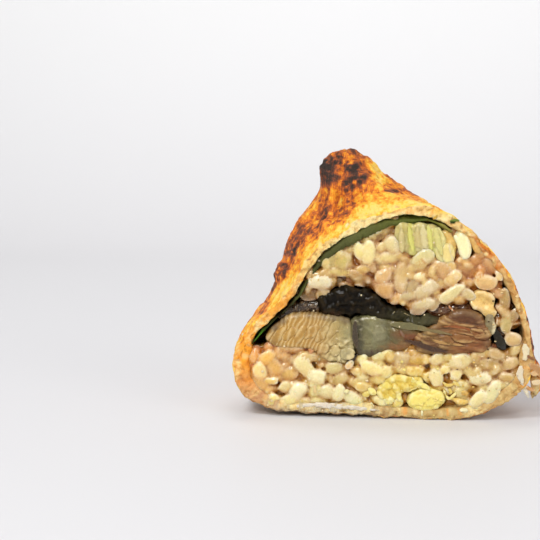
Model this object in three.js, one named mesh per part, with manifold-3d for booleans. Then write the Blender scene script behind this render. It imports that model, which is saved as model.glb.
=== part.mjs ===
// One half of a grilled, stuffed tofu pouch that was cut in two. It stands on its base with the
// cut to the front. Millimetres: +X is right across the cut, +Y goes in behind it, +Z is up.

import * as THREE from 'three';
import { LoftGeometry } from 'three/addons/geometries/LoftGeometry.js';
import { mergeVertices } from 'three/addons/utils/BufferGeometryUtils.js';
import Module from 'manifold-3d';

const wasm = await Module();
wasm.setup();

// ------------------------------------------------------------------ driving dimensions

const GAP = 0.3;                 // room between neighbouring pieces
const DEPTH = 42;                // from the cut to the back of the pouch
const WIDEST_Z = 17.5;           // height at which the pouch is widest
const BASE_SINK = 0.8;           // how far the rounded base is flattened where it rests
const LIP_LIFT = 1.3;            // the left of the base curls up this far at the cut
const LIP_DEPTH = 10;            // and is down again this far behind it

// The pouch's extents at each depth, and where its ridge runs.
const POUCH = [
  { y: 0, left: -43, right: 41.5, top: 60, ridge: 9, base: 0 },
  { y: 9, left: -43.2, right: 41.2, top: 63.5, ridge: -1, base: 0 },
  { y: 18, left: -42.6, right: 39.8, top: 66, ridge: -9.5, base: 0 },
  { y: 27, left: -39.8, right: 36.8, top: 62, ridge: -10, base: 0 },
  { y: 34, left: -34.5, right: 31.5, top: 53, ridge: -8, base: 0 },
  { y: 39, left: -26, right: 23, top: 41, ridge: -5, base: 2 },
  { y: DEPTH, left: -8, right: 6, top: 25, ridge: -1, base: 11 },
];

// Roundness of the four quarters of a section: 2 is an ellipse, less is flatter, more is squarer.
const ROUNDNESS = { leftTop: 1.6, rightTop: 1.8, leftBase: 3.4, rightBase: 2.1 };

// The left flank sinks in a little, less and less from the first depth to the last.
const HOLLOW = { depth: 5, turn: 0.414, spread: 0.046, first: 20, last: 36 };

// Wall of the fried tofu skin.
const SKIN = { left: 3.2, right: 2.2, top: 3, base: 1.4, back: 3 };

// The pinched knob's sides at each height, and its half depth: a share of its half width, but
// no more than the limit, so that its wide foot runs into the skin behind it.
const KNOB = { x: -11.5, y: 19, sides: 16, share: 0.82, limit: 9.5 };
const KNOB_LEVELS = [
  { z: 57, left: -23, right: 15 },
  { z: 61, left: -20.6, right: 10 },
  { z: 64.6, left: -19.7, right: 5 },
  { z: 67.3, left: -19.7, right: 0.4 },
  { z: 70.2, left: -19.6, right: -2.6 },
  { z: 72.8, left: -18.6, right: -4.8 },
  { z: 74.4, left: -16.6, right: -7.4 },
  { z: 74.9, left: -14, right: -9.6 },
];
const FOLD_HEIGHT = 0.9;         // folds that run down from the knob
const SCRAP = { x: 39, z: 19.5, tipX: 43.6, tipZ: 7.4, y: 4, width: 7.6, thickness: 2 };
const OUTSIDE = { around: 54, steps: 12 };   // how finely the skin's outer face is stepped
const INSIDE = { around: 48, steps: 9 };     // and its inner face

// The leaf starts this many of the inner face's steps round from its right, over the top.
const LEAF = { thickness: 0.8, wave: 0.5, front: 0.8, from: 25, columns: 14, rows: 5 };
const GRAIN = { length: 6.2, width: 3.7, thickness: 3.1, across: 5, rings: 3 };
const RICE_FACE = 2.6;           // how far behind the cut the bare rice core starts

// ------------------------------------------------------------------ helpers

// Smooth curve through [x, value] knots, level beyond both ends.
function curveThrough(knots) {
  const last = knots.length - 1;
  const slopes = knots.map((knot, i) => {
    const before = knots[Math.max(i - 1, 0)];
    const after = knots[Math.min(i + 1, last)];
    return (after[1] - before[1]) / (after[0] - before[0]);
  });
  return (x) => {
    if (x <= knots[0][0]) return knots[0][1];
    if (x >= knots[last][0]) return knots[last][1];
    const i = knots.findIndex((knot) => knot[0] > x) - 1;
    const width = knots[i + 1][0] - knots[i][0];
    const t = (x - knots[i][0]) / width;
    const rise = knots[i + 1][1] - knots[i][1];
    const start = slopes[i] * width;
    const end = slopes[i + 1] * width;
    const bend = 3 * rise - 2 * start - end;
    const twist = start + end - 2 * rise;
    return knots[i][1] + t * (start + t * (bend + t * twist));
  };
}

// Repeatable random numbers from 0 to 1.
function seededRandom(seed) {
  let state = seed;
  return () => {
    state = (state * 1664525 + 1013904223) % 4294967296;
    return state / 4294967296;
  };
}

const range = (count) => Array.from({ length: count }, (_, i) => i);
const between = (low, high, share) => low + (high - low) * share;

function toSolid(geometry) {
  const bare = new THREE.BufferGeometry();
  bare.setAttribute('position', geometry.attributes.position);
  bare.setIndex(geometry.index);
  const merged = mergeVertices(bare, 1e-4);
  return new wasm.Manifold(new wasm.Mesh({
    numProp: 3,
    vertProperties: new Float32Array(merged.attributes.position.array),
    triVerts: new Uint32Array(merged.index.array),
  }));
}

function toGeometry(solid) {
  const mesh = solid.getMesh();
  const geometry = new THREE.BufferGeometry();
  geometry.setAttribute('position', new THREE.BufferAttribute(mesh.vertProperties, 3));
  geometry.setIndex(new THREE.BufferAttribute(mesh.triVerts, 1));
  geometry.computeVertexNormals();
  return geometry;
}

// Drops the loose scraps that a cut leaves.
function largestBody(solid) {
  const bodies = solid.decompose();
  return bodies.reduce((best, body) => (body.volume() > best.volume() ? body : best));
}

const union = (solids) => solids.reduce((whole, solid) => whole.add(solid));

// Closed solid skinned over rings of points that follow each other.
function loft(rings) {
  return toSolid(new LoftGeometry(rings, { closed: true, capStart: true, capEnd: true }));
}

// ------------------------------------------------------------------ the pouch's form

const pouchAt = {};
for (const name of ['left', 'right', 'top', 'ridge', 'base']) {
  pouchAt[name] = curveThrough(POUCH.map((station) => [station.y, station[name]]));
}

const lipLift = (x, y) => {
  const side = THREE.MathUtils.smoothstep(-x, -2, 7);
  const front = THREE.MathUtils.clamp(1 - y / LIP_DEPTH, 0, 1);
  return LIP_LIFT * side * front;
};

// Point of the pouch's section at depth y, a share of a turn anticlockwise from its right,
// set in from the outside by a wall.
function sectionPoint(turn, y, wall) {
  const cosine = Math.cos(turn * 2 * Math.PI);
  const sine = Math.sin(turn * 2 * Math.PI);
  const ridge = pouchAt.ridge(y);
  const side = cosine < 0 ? 'left' : 'right';
  const half = sine < 0 ? 'Base' : 'Top';
  const power = 2 / ROUNDNESS[side + half];
  const reach = Math.abs(pouchAt[side](y) - ridge) - wall[side];
  const top = pouchAt.top(y) - WIDEST_Z - wall.top;
  const base = WIDEST_Z + BASE_SINK - pouchAt.base(y) - wall.base;
  const sunk = Math.exp(-(((turn - HOLLOW.turn) / HOLLOW.spread) ** 2));
  const hollow = HOLLOW.depth * sunk * (1 - THREE.MathUtils.smoothstep(y, HOLLOW.first, HOLLOW.last));
  const x = ridge + Math.sign(cosine) * reach * Math.abs(cosine) ** power - hollow * cosine;
  const rise = (half === 'Top' ? top : base) * Math.abs(sine) ** power;
  const z = WIDEST_Z + Math.sign(sine) * rise - hollow * sine;
  const depth = y * (DEPTH - wall.back) / DEPTH;
  const rest = Math.max(pouchAt.base(y), 0) + lipLift(x, y) + wall.base;
  return new THREE.Vector3(x, depth, Math.max(z, rest));
}

// Folds that run down the skin from the knob and fade out towards the base.
function foldAt(point) {
  const around = Math.atan2(point.y - KNOB.y, point.x - KNOB.x);
  const away = Math.hypot(point.x - KNOB.x, point.y - KNOB.y);
  const fade = THREE.MathUtils.smoothstep(point.z, 12, 40);
  const long = Math.sin(around * 9 + away * 0.05);
  const short = Math.sin(around * 16 - point.z * 0.12);
  const lumps = Math.sin(point.x * 0.31) * Math.sin(point.y * 0.37 + point.z * 0.23);
  return FOLD_HEIGHT * fade * (0.6 * long + 0.35 * short) + 0.35 * lumps * fade;
}

const NO_WALL = { left: 0, right: 0, top: 0, base: 0, back: 0 };

// Every part of a wall made thicker by the same amount.
function thicker(wall, extra) {
  return Object.fromEntries(Object.entries(wall).map(([name, size]) => [name, size + extra]));
}

// Depths of the sections, closer together towards the back.
const sectionDepth = (i, steps) => DEPTH * Math.sin(i / steps * Math.PI / 2);

function pouchSolid(wall, around, steps, front, shape = (point) => point) {
  const rings = range(steps + 1).map((i) => (
    range(around).map((j) => shape(sectionPoint(1 - j / around, sectionDepth(i, steps), wall)))
  ));
  rings[0].forEach((point) => { point.y = front; });
  return loft(rings);
}

function pushedOut(point) {
  const centre = new THREE.Vector3(pouchAt.ridge(point.y), point.y, WIDEST_Z);
  const away = point.clone().sub(centre).normalize();
  return point.clone().addScaledVector(away, foldAt(point));
}

// ------------------------------------------------------------------ tofu skin

// The pinched knob on top: a stub with uneven sides, whose foot flares out to the right.
function knobSolid() {
  return loft(KNOB_LEVELS.map(({ z, left, right }, level) => {
    const reach = (right - left) / 2;
    const deep = Math.min(reach * KNOB.share, KNOB.limit);
    return range(KNOB.sides).map((i) => {
      const turn = i / KNOB.sides * 2 * Math.PI;
      const swell = 1 + 0.05 * Math.sin(turn * 5 + level * 0.5);
      return new THREE.Vector3(
        left + reach + reach * swell * Math.cos(turn),
        KNOB.y + deep * swell * Math.sin(turn),
        z,
      );
    });
  }));
}

// The torn scrap of skin that stands away at the lower right of the cut, as a curled strip.
function tornScrap() {
  const steps = 6;
  const sides = 8;
  const rings = range(steps + 1).map((i) => {
    const along = i / steps;
    const x = between(SCRAP.x, SCRAP.tipX, Math.sin(along * 2));
    const z = between(SCRAP.z, SCRAP.tipZ, along);
    const wide = SCRAP.width / 2 * (1 - 0.7 * along + 0.2 * Math.sin(along * 9));
    return range(sides).map((j) => {
      const angle = -j / sides * 2 * Math.PI;
      return new THREE.Vector3(
        x + SCRAP.thickness / 2 * Math.cos(angle),
        SCRAP.y + wide * Math.sin(angle),
        z + SCRAP.thickness / 2 * Math.cos(angle + 0.6),
      );
    });
  });
  return loft(rings);
}

function tofuSkin() {
  const outside = pouchSolid(NO_WALL, OUTSIDE.around, OUTSIDE.steps, 0, pushedOut);
  const inside = pouchSolid(SKIN, INSIDE.around, INSIDE.steps, -1);
  return largestBody(union([outside, knobSolid(), tornScrap()]).subtract(inside));
}

// ------------------------------------------------------------------ green leaf

// Thin solid between two grids of points, with both faces split into triangles alike.
function sheetSolid(outer, inner) {
  const rows = outer.length;
  const columns = outer[0].length;
  const points = [...outer.flat(), ...inner.flat()];
  const far = rows * columns;
  const index = [];
  const quad = (a, b, c, d) => index.push(a, b, d, b, c, d);
  for (let i = 0; i < rows - 1; i += 1) {
    for (let j = 0; j < columns - 1; j += 1) {
      const a = i * columns + j;
      quad(a, a + 1, a + columns + 1, a + columns);
      index.push(far + a, far + a + columns, far + a + 1);
      index.push(far + a + 1, far + a + columns, far + a + columns + 1);
    }
  }
  for (let j = 0; j < columns - 1; j += 1) {
    const last = (rows - 1) * columns + j;
    quad(far + j, far + j + 1, j + 1, j);
    quad(last, last + 1, far + last + 1, far + last);
  }
  for (let i = 0; i < rows - 1; i += 1) {
    const first = i * columns;
    const last = first + columns - 1;
    quad(far + first, first, first + columns, far + first + columns);
    quad(last, far + last, far + last + columns, last + columns);
  }
  const geometry = new THREE.BufferGeometry().setFromPoints(points);
  geometry.setIndex(index);
  return toSolid(geometry);
}

// A leaf that lines the skin over the filling. It follows the skin's own steps, and waves a
// little on the side of the rice. Grown, it goes half a step past its edges too.
function leafSolid(grow) {
  const columns = range(LEAF.columns + 1);
  const rows = range(LEAF.rows + 1);
  if (grow > 0) {
    columns.unshift(-0.5);
    columns.push(LEAF.columns + 0.5);
    rows.push(LEAF.rows + 0.5);
  }
  const face = (wallOf) => rows.map((i) => columns.map((j) => {
    const turn = 1 - (LEAF.from + j) / INSIDE.around;
    const wave = LEAF.wave * (0.5 + 0.5 * Math.sin(j * 1.9 + i * 1.3));
    const point = sectionPoint(turn, sectionDepth(i, INSIDE.steps), thicker(SKIN, wallOf(wave)));
    if (i === 0) point.y = LEAF.front - grow + 0.5 * Math.sin(j * 1.3);
    return point;
  }));
  const outer = face((wave) => GAP + wave - grow);
  const inner = face((wave) => GAP + wave + LEAF.thickness + grow);
  return sheetSolid(outer, inner);
}

// ------------------------------------------------------------------ fillings that show at the cut

// Each filling has one outline of [x, z] points at the cut and runs in from its front to its back.
// points is how many corners the outline gets, waver how far it strays on its way in. flakes stand
// out of the cut face: first and last centre, how many, radii across, along and up, and slant.
const LAYER = { front: 1.2, back: DEPTH, points: 20, rows: 2, waver: 0.5 };
const TRIM = { front: 1, back: 20, points: 14, rows: 1, waver: 0 };

const FILLINGS = {
  eel_skin: {
    ...LAYER,
    points: 24,
    outline: [
      [-19.4, 31.6], [-15.5, 35.2], [-7.5, 36.9], [-2.3, 34], [2, 31], [7, 29.3], [12.4, 28.9],
      [16.4, 27.9], [12.4, 26.9], [6.2, 27.6], [0.5, 29.2], [-5, 29.6], [-13, 29.7],
    ],
  },
  eel_flesh_thick: {
    ...LAYER,
    points: 24,
    outline: [
      [-32.6, 22.8], [-29.2, 26.6], [-25.8, 28.8], [-20.5, 29], [-14, 28.6], [-10.2, 27.8], [-9.6, 23.5],
      [-9.3, 18.6], [-12.1, 16.6], [-16.2, 17.8], [-19.4, 20.2], [-25, 20.6], [-30.5, 21.2],
    ],
    flakes: [
      { from: [-29.8, 23.4], to: [-14.5, 24.6], count: 6, radii: [0.9, 1.1, 3.4], slant: 0.7 },
      { from: [-17.2, 19.8], to: [-10.6, 18.6], count: 3, radii: [1.5, 1.2, 1.5], slant: 0.2 },
    ],
  },
  eel_flesh_middle: {
    ...LAYER,
    front: 1.8,
    outline: [
      [-7.8, 27.4], [-3.2, 28.4], [2.2, 27.6], [6.8, 26], [9.5, 24.8], [6.4, 21.4], [-0.4, 19.8],
      [-6.8, 18.6],
    ],
    flakes: [{ from: [-5.6, 23.4], to: [3.2, 24], count: 3, radii: [1.6, 1.4, 3.2], slant: -0.5 }],
  },
  eel_tail: {
    ...LAYER,
    waver: 0.3,
    outline: [
      [10.6, 24.4], [14, 26.2], [18.2, 29.4], [22, 30.6], [25.4, 29.6], [28.2, 25], [28.4, 21],
      [24, 20.2], [17, 19.6], [11, 20.2], [8.6, 21.4],
    ],
    flakes: [{ from: [12.5, 22.2], to: [26, 24.2], count: 4, radii: [1.1, 0.9, 3.2], slant: -1.1 }],
  },
  nori_strip: {
    ...TRIM,
    back: 26,
    points: 12,
    outline: [[29.3, 26.4], [30.9, 26], [33.9, 20.6], [32.2, 19.9]],
  },
  pale_piece: {
    ...TRIM,
    back: 11,
    points: 16,
    outline: [
      [23.4, 34.6], [26, 36.4], [29.6, 35], [30.4, 31.6], [30.2, 28.6], [28.6, 27.6], [26.8, 30.4],
      [24.6, 31.8],
    ],
  },
  egg_lump: {
    ...TRIM,
    points: 16,
    outline: [[6.8, 4.8], [8.6, 7.6], [12.4, 8.4], [15.8, 7.4], [16.4, 5], [13.4, 3.1], [9, 3]],
    flakes: [{ from: [8.4, 5.4], to: [14.8, 5.8], count: 4, radii: [1.7, 1.2, 1.9], slant: 0.6 }],
  },
  egg_shreds: {
    ...TRIM,
    back: 16,
    points: 18,
    outline: [
      [-1.4, 8.6], [1.4, 11.4], [4.8, 11.9], [9.6, 11.6], [10.4, 9.6], [5.6, 8.2], [2, 5.4], [-0.8, 5.8],
    ],
    flakes: [{ from: [0.4, 7.6], to: [8.6, 10.2], count: 4, radii: [0.8, 1.1, 1.9], slant: -0.6 }],
  },
  vegetable_wedge: {
    ...TRIM,
    outline: [[18.6, 53.6], [20.6, 53.4], [22.6, 49.8], [22.8, 46.2], [21.4, 45.6], [20.2, 49]],
  },
  vegetable_chip: {
    ...TRIM,
    back: 12,
    points: 12,
    outline: [[16.2, 49.4], [17.8, 49.2], [18.7, 46], [17.6, 44.6], [15.8, 45.4]],
  },
};

// Strips of a pale crisp vegetable stand side by side in the upper rice, broad and slim ones by
// turns: centre and width of the upper end, its height, the lower end's height and lean.
const STRIPS = [
  { x: 4.4, width: 2.4, upper: 55.2, lower: 48.8, lean: 0.3 },
  { x: 6.6, width: 1.1, upper: 55, lower: 46.4, lean: 0.9 },
  { x: 9.2, width: 3.2, upper: 54.9, lower: 47.4, lean: 0.7 },
  { x: 11.9, width: 1.1, upper: 54.6, lower: 46.6, lean: 1.4 },
  { x: 13.9, width: 1.9, upper: 54, lower: 44.4, lean: 2 },
];

function stripOutline({ x, width, upper, lower, lean }) {
  const half = width / 2;
  return [
    [x - half, upper - half * 0.4], [x, upper], [x + half, upper - half * 0.4],
    [x + half + lean, lower + half * 0.5], [x + lean, lower], [x - half + lean, lower + half * 0.5],
  ];
}

STRIPS.forEach((strip, i) => {
  const front = TRIM.front + 0.3 * (i % 2);
  FILLINGS[`vegetable_strip_${i + 1}`] = { ...TRIM, front, points: 12, outline: stripOutline(strip) };
});

// A closed smooth ring through an outline's points, evenly stepped and grown outwards.
function outlineRing(outline, count, grow) {
  const path = new THREE.CatmullRomCurve3(outline.map(([x, z]) => new THREE.Vector3(x, 0, z)), true);
  const centres = path.getSpacedPoints(count).slice(0, count);
  return centres.map((point, i) => {
    const before = centres[(i + count - 1) % count];
    const after = centres[(i + 1) % count];
    const along = after.clone().sub(before).normalize();
    return point.clone().add(new THREE.Vector3(-along.z, 0, along.x).multiplyScalar(grow));
  });
}

function fillingSolid({ outline, front, back, points, rows, waver }, grow) {
  const ring = outlineRing(outline, points, grow);
  return loft(range(rows + 1).map((row) => {
    const y = between(front - grow, back + grow, row / rows);
    const stray = waver * Math.sin(y * 0.21 + outline[0][0]);
    return ring.map((point) => new THREE.Vector3(point.x + stray * 0.8, y, point.z + stray * 0.5));
  }));
}

// Flakes fused on a filling's cut face, no wider than the filling itself.
function withFlakes(core, filling) {
  const flakes = filling.flakes.flatMap(({ from, to, count, radii, slant }) => range(count).map((i) => {
    const share = i / (count - 1);
    const x = between(from[0], to[0], share);
    const z = between(from[1], to[1], share) + 0.6 * Math.sin(i * 2.9);
    const geometry = new THREE.SphereGeometry(1, 6, 4);
    geometry.scale(...radii);
    geometry.rotateY(slant + 0.25 * Math.sin(i * 2.4));
    geometry.translate(x, filling.front + 0.4, z);
    return toSolid(geometry);
  }));
  const room = fillingSolid({ ...filling, front: -1, back: filling.front + 3 }, 0);
  return core.add(union(flakes).intersect(room));
}

// ------------------------------------------------------------------ rice

// Underside of the upper rice and top of the lower rice across the cut.
const upperRiceFloor = curveThrough([
  [-45, 33], [-26, 33], [-19.5, 33.6], [-14.5, 36.2], [-7, 37.5], [-2, 34.8], [2.2, 32], [6.5, 30.2],
  [11.8, 29.8], [15.2, 31.2], [21, 33.4], [25, 31.4], [30, 26.4], [34, 24.6],
]);
const lowerRiceTop = curveThrough([
  [-45, 20.4], [-34, 20.6], [-24, 20.1], [-19, 19.4], [-16, 17.2], [-12, 15.9], [-8.8, 17.6], [-0.4, 19.3],
  [6, 20.6], [11, 19.7], [18, 19.1], [26, 19.6], [31, 20.4], [36, 22.4],
]);

// Everything between two sheets, from one side of the pouch to the other.
function slab(floor, roof, front) {
  const columns = 22;
  const rows = 2;
  const xs = range(columns + 1).map((i) => between(-48, 48, i / columns));
  const rings = range(rows + 1).map((row) => {
    const y = between(front, DEPTH + 2, row / rows);
    const waver = (x) => 0.4 * Math.sin(y * 0.3 + x * 0.2);
    const edge = (height) => xs.map((x) => new THREE.Vector3(x, y, height(x) + waver(x)));
    return [...edge(floor), ...edge(roof).reverse()].reverse();
  });
  return loft(rings);
}

// One cooked grain: a squashed ball with few sides, turned any way.
function grainSolid(centre, turn, lean, size, grow) {
  const geometry = new THREE.SphereGeometry(1, GRAIN.across, GRAIN.rings);
  geometry.scale(
    GRAIN.width / 2 * size + grow,
    GRAIN.length / 2 * size + grow,
    GRAIN.thickness / 2 * size + grow,
  );
  geometry.rotateZ(lean);
  geometry.rotateX(Math.PI / 2);
  geometry.rotateY(turn);
  geometry.translate(centre.x, centre.y, centre.z);
  return toSolid(geometry);
}

// Grains that show on the cut face of a rice core, one for each cell of a grid. A grain that
// would cross a neighbour is moved and made smaller, and is left out after a few tries.
function withGrains(core, blocked, area, seed) {
  const random = seededRandom(seed);
  const stepX = GRAIN.length * 0.78;
  const stepZ = GRAIN.width * 0.92;
  const columns = Math.ceil((area.right - area.left) / stepX);
  const rows = Math.ceil((area.top - area.bottom) / stepZ);
  const grains = [];
  const addGrain = (column, row) => {
    for (let size = 1; size > 0.7; size -= 0.07) {
      const centre = new THREE.Vector3(
        area.left + (column + 0.5 * (row % 2) + 0.7 * (random() - 0.5)) * stepX,
        RICE_FACE - 0.3 + 0.5 * (random() - 0.5),
        area.bottom + (row + 0.5 + 0.7 * (random() - 0.5)) * stepZ,
      );
      const turn = random() * Math.PI;
      const lean = (random() - 0.5) * 0.6;
      const grain = grainSolid(centre, turn, lean, size, 0);
      const crosses = grainSolid(centre, turn, lean, size, GAP).intersect(blocked).volume() > 0;
      if (!crosses && grain.intersect(core).volume() > 0.15 * grain.volume()) {
        grains.push(grain);
        return;
      }
    }
  };
  for (const row of range(rows)) {
    for (const column of range(columns)) {
      addGrain(column, row);
    }
  }
  return largestBody(union([core, ...grains]));
}

// ------------------------------------------------------------------ assembly

const COLOURS = {
  tofu_skin: ['#c98432', 0.6],
  green_leaf: ['#46551f', 0.45],
  rice_upper: ['#d9c39a', 0.4],
  rice_lower: ['#dccba6', 0.4],
  eel_skin: ['#1d1c19', 0.25],
  eel_flesh_thick: ['#b3a375', 0.5],
  eel_flesh_middle: ['#8c8f74', 0.4],
  eel_tail: ['#9a6a3c', 0.4],
  nori_strip: ['#1b232b', 0.4],
  pale_piece: ['#dcc07c', 0.45],
  egg_lump: ['#ecd679', 0.6],
  egg_shreds: ['#ead27a', 0.6],
  vegetable_wedge: ['#ecdcae', 0.4],
  vegetable_chip: ['#ecdcae', 0.4],
  vegetable_strip: ['#d3cf8c', 0.4],
};

function named(name, solid) {
  const [color, roughness] = COLOURS[name] ?? COLOURS[name.replace(/_\d+$/, '')];
  const material = new THREE.MeshStandardMaterial({ color, roughness, metalness: 0 });
  const mesh = new THREE.Mesh(toGeometry(solid), material);
  mesh.name = name;
  return mesh;
}

const skin = tofuSkin();
const leaf = leafSolid(0);
const cavity = pouchSolid(thicker(SKIN, GAP), INSIDE.around, INSIDE.steps, 0.4);
const leafRoom = leafSolid(GAP);
const pieces = { tofu_skin: skin, green_leaf: leaf };
let taken = leafRoom;
for (const [name, filling] of Object.entries(FILLINGS)) {
  const piece = largestBody(fillingSolid(filling, 0).intersect(cavity).subtract(taken));
  pieces[name] = filling.flakes ? withFlakes(piece, filling) : piece;
  taken = taken.add(fillingSolid(filling, GAP));
}

const upperCore = largestBody(
  slab(upperRiceFloor, () => 75, RICE_FACE).intersect(cavity).subtract(taken),
);
const lowerCore = largestBody(
  slab(() => -5, lowerRiceTop, RICE_FACE).intersect(cavity).subtract(taken),
);
const neighbours = union(Object.values(pieces));
const upperArea = { left: -28, right: 38, bottom: 24, top: 58 };
const lowerArea = { left: -41, right: 39, bottom: 1, top: 22 };
pieces.rice_upper = withGrains(upperCore, union([neighbours, lowerCore]), upperArea, 11);
pieces.rice_lower = withGrains(lowerCore, union([neighbours, pieces.rice_upper]), lowerArea, 29);

// The whole stands with the centre of its base at the origin.
const part = new THREE.Group();
for (const [name, solid] of Object.entries(pieces)) {
  part.add(named(name, solid));
}
const bounds = new THREE.Box3().setFromObject(part);
const middle = bounds.getCenter(new THREE.Vector3());
part.position.set(-middle.x, -middle.y, -bounds.min.z);

export default part;
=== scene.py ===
"""Half of a grilled stuffed tofu pouch: its skin, rice, leaf, eel and garnishes, seen at the cut.

Lengths are millimetres while shapes are made, and metres in the scene and on its stage.
X is to the right, Y goes in behind the cut and Z is up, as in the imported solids.
"""

import itertools
import math

import bpy
import numpy as np
from bpy.props import FloatProperty, FloatVectorProperty, IntProperty, PointerProperty
from mathutils import Matrix, Vector
from mathutils.bvhtree import BVHTree
from mathutils.kdtree import KDTree


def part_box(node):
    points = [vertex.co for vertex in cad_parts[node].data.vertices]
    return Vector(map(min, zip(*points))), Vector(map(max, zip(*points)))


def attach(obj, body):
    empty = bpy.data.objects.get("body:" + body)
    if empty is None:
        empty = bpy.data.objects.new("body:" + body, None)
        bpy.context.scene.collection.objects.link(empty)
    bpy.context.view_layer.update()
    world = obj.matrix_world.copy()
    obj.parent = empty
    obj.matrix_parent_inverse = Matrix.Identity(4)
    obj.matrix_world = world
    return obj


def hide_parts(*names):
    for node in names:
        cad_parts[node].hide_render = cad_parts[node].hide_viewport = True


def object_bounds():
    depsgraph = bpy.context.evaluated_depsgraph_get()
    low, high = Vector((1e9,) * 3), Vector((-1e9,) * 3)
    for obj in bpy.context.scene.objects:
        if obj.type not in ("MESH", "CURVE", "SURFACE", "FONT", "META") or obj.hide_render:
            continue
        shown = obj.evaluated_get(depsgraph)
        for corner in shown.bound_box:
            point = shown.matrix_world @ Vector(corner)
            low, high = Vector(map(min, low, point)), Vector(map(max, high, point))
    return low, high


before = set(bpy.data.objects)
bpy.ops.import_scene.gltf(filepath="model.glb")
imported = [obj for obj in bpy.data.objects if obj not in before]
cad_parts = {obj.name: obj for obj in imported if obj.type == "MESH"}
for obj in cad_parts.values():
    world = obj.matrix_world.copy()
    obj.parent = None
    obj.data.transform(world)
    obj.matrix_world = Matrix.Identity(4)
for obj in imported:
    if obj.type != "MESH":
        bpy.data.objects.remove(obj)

bl_info = {
    "name": "Grilled stuffed tofu pouch",
    "version": (1, 0, 0),
    "blender": (4, 5, 0),
    "location": "View3D > Sidebar > Pouch",
    "description": "Dresses the solids of a cut, grilled and stuffed tofu pouch",
    "category": "Add Mesh",
}

MM = 0.001
CAD_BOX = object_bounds()
CUT = CAD_BOX[0].y / MM
# The knob's foot: its height and its middle.
KNOB_FOOT = 62.0
KNOB = (-11.7, CUT + 19.0, KNOB_FOOT)
# The eye's distance from the cut and height above the floor, and its lens.
EYE_DISTANCE = 338.0
EYE_HEIGHT = 78.3
LENS = 81.2
SENSOR_WIDTH = 36
# The lamps: name, place, what it looks at and size in metres, and power in watts.
FOOD = (0, 0, 0.03)
LAMPS = (
    ("key", (-0.35, -0.75, 0.95), FOOD, 0.4, 7.6),
    ("fill", (0.8, -0.6, 0.45), FOOD, 0.5, 1.8),
    ("glint", (-0.15, -0.8, 0.45), FOOD, 0.08, 2.0),
    ("wall", (0, 0.3, 1.0), (0, 0.8, 0.5), 0.6, 3.8),
)


# Colours and noise


def linear(code):
    """A web colour as the linear red, green and blue that shaders use."""
    channels = [int(code[i:i + 2], 16) / 255 for i in (1, 3, 5)]
    return tuple(c / 12.92 if c <= 0.04045 else ((c + 0.055) / 1.055) ** 2.4 for c in channels)


def smooth_step(low, high, values):
    """0 below low and 1 above high, with an easy change between; low may be the larger."""
    share = np.clip((values - low) / (high - low), 0, 1)
    return share * share * (3 - 2 * share)


def noise_at(points, seed=0):
    """Smooth noise from -1 to 1 at each row of points, with about one hump a unit."""
    cell = np.floor(points).astype(np.int64)
    part = points - cell
    ease = part * part * (3 - 2 * part)
    total = np.zeros(len(points))
    for corner in itertools.product((0, 1), repeat=3):
        x, y, z = (cell + corner).T
        mixed = (x * 73856093) ^ (y * 19349663) ^ (z * 83492791) ^ (seed * 961748927)
        mixed = ((mixed ^ (mixed >> 15)) * 1274126177) & 0x7FFFFFFF
        mixed = ((mixed ^ (mixed >> 13)) * 668265263) & 0x7FFFFFFF
        value = (mixed >> 7) % 4096 / 2047.5 - 1
        total += value * np.prod(np.where(corner, ease, 1 - ease), axis=1)
    return total


def rough_noise(points, octaves=3, seed=0):
    """Noise with finer and weaker noise added on top."""
    return sum(noise_at(points * 2 ** i, seed + i) / 2 ** i for i in range(octaves))


def ridges(points, seed=0):
    """1 along thin winding lines and 0 between them."""
    return 1 - np.minimum(1, np.abs(noise_at(points, seed)) * 2.2)


def blend(tints, share, code):
    """Mixes a web colour into the tints by each point's share."""
    return tints + (np.array(linear(code)) - tints) * np.clip(share, 0, 1)[:, None]


def shaded(tints, values, *steps):
    """Blends colours into the tints where the values go from low to high.

    A step is strength, low, high and colour.
    """
    for strength, low, high, code in steps:
        tints = blend(tints, strength * smooth_step(low, high, values), code)
    return tints


def plain(points, code):
    """The same web colour for every point."""
    return np.tile(linear(code), (len(points), 1))


def behind_cut(points, near, far):
    """0 nearer than near and 1 beyond far behind the cut; near may be the larger."""
    return smooth_step(CUT + near, CUT + far, points[:, 1])


def slanted(x, z, turn):
    """x and z measured along and across a line at this turn, in degrees."""
    c, s = math.cos(math.radians(turn)), math.sin(math.radians(turn))
    return x * c + z * s, z * c - x * s


def oval(places, x, z, wide, high, turn):
    """How far each place lies from an oval's middle, as a share of its half width and height."""
    length, breadth = slanted(places[:, 0] - x, places[:, 1] - z, turn)
    return np.hypot(length / wide, breadth / high)


def flat_noise(places, level, seed):
    """Rough noise over x, z places, at one level of the third direction."""
    return rough_noise(np.column_stack([places, np.full(len(places), level)]), 3, seed)


def dab(tints, places, *marks, ragged=0.35, seed=0):
    """Lays oval stains with ragged rims over the tints.

    A mark is x, z, half width, half height, turn in degrees, strength and colour.
    """
    wobble = ragged * flat_noise(places * 0.9, seed + 0.5, seed)
    for *mark, strength, code in marks:
        tints = shaded(tints, oval(places, *mark) + wobble, (strength, 1.45, 0.3, code))
    return tints


def graded(values, *stops):
    """A colour for each value, from (value, web colour) stops in rising order."""
    colours = np.array([linear(code) for _, code in stops])
    places = [place for place, _ in stops]
    return np.column_stack([np.interp(values, places, colours[:, i]) for i in range(3)])


# Meshes


def points_of(mesh):
    """The mesh's points in millimetres, one a row."""
    flat = np.empty(len(mesh.vertices) * 3, np.float32)
    mesh.vertices.foreach_get("co", flat)
    return flat.reshape(-1, 3).astype(float) / MM


def normals_of(mesh):
    """The direction that the surface faces at each point."""
    flat = np.empty(len(mesh.vertices) * 3, np.float32)
    mesh.vertex_normals.foreach_get("vector", flat)
    return flat.reshape(-1, 3).astype(float)


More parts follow.
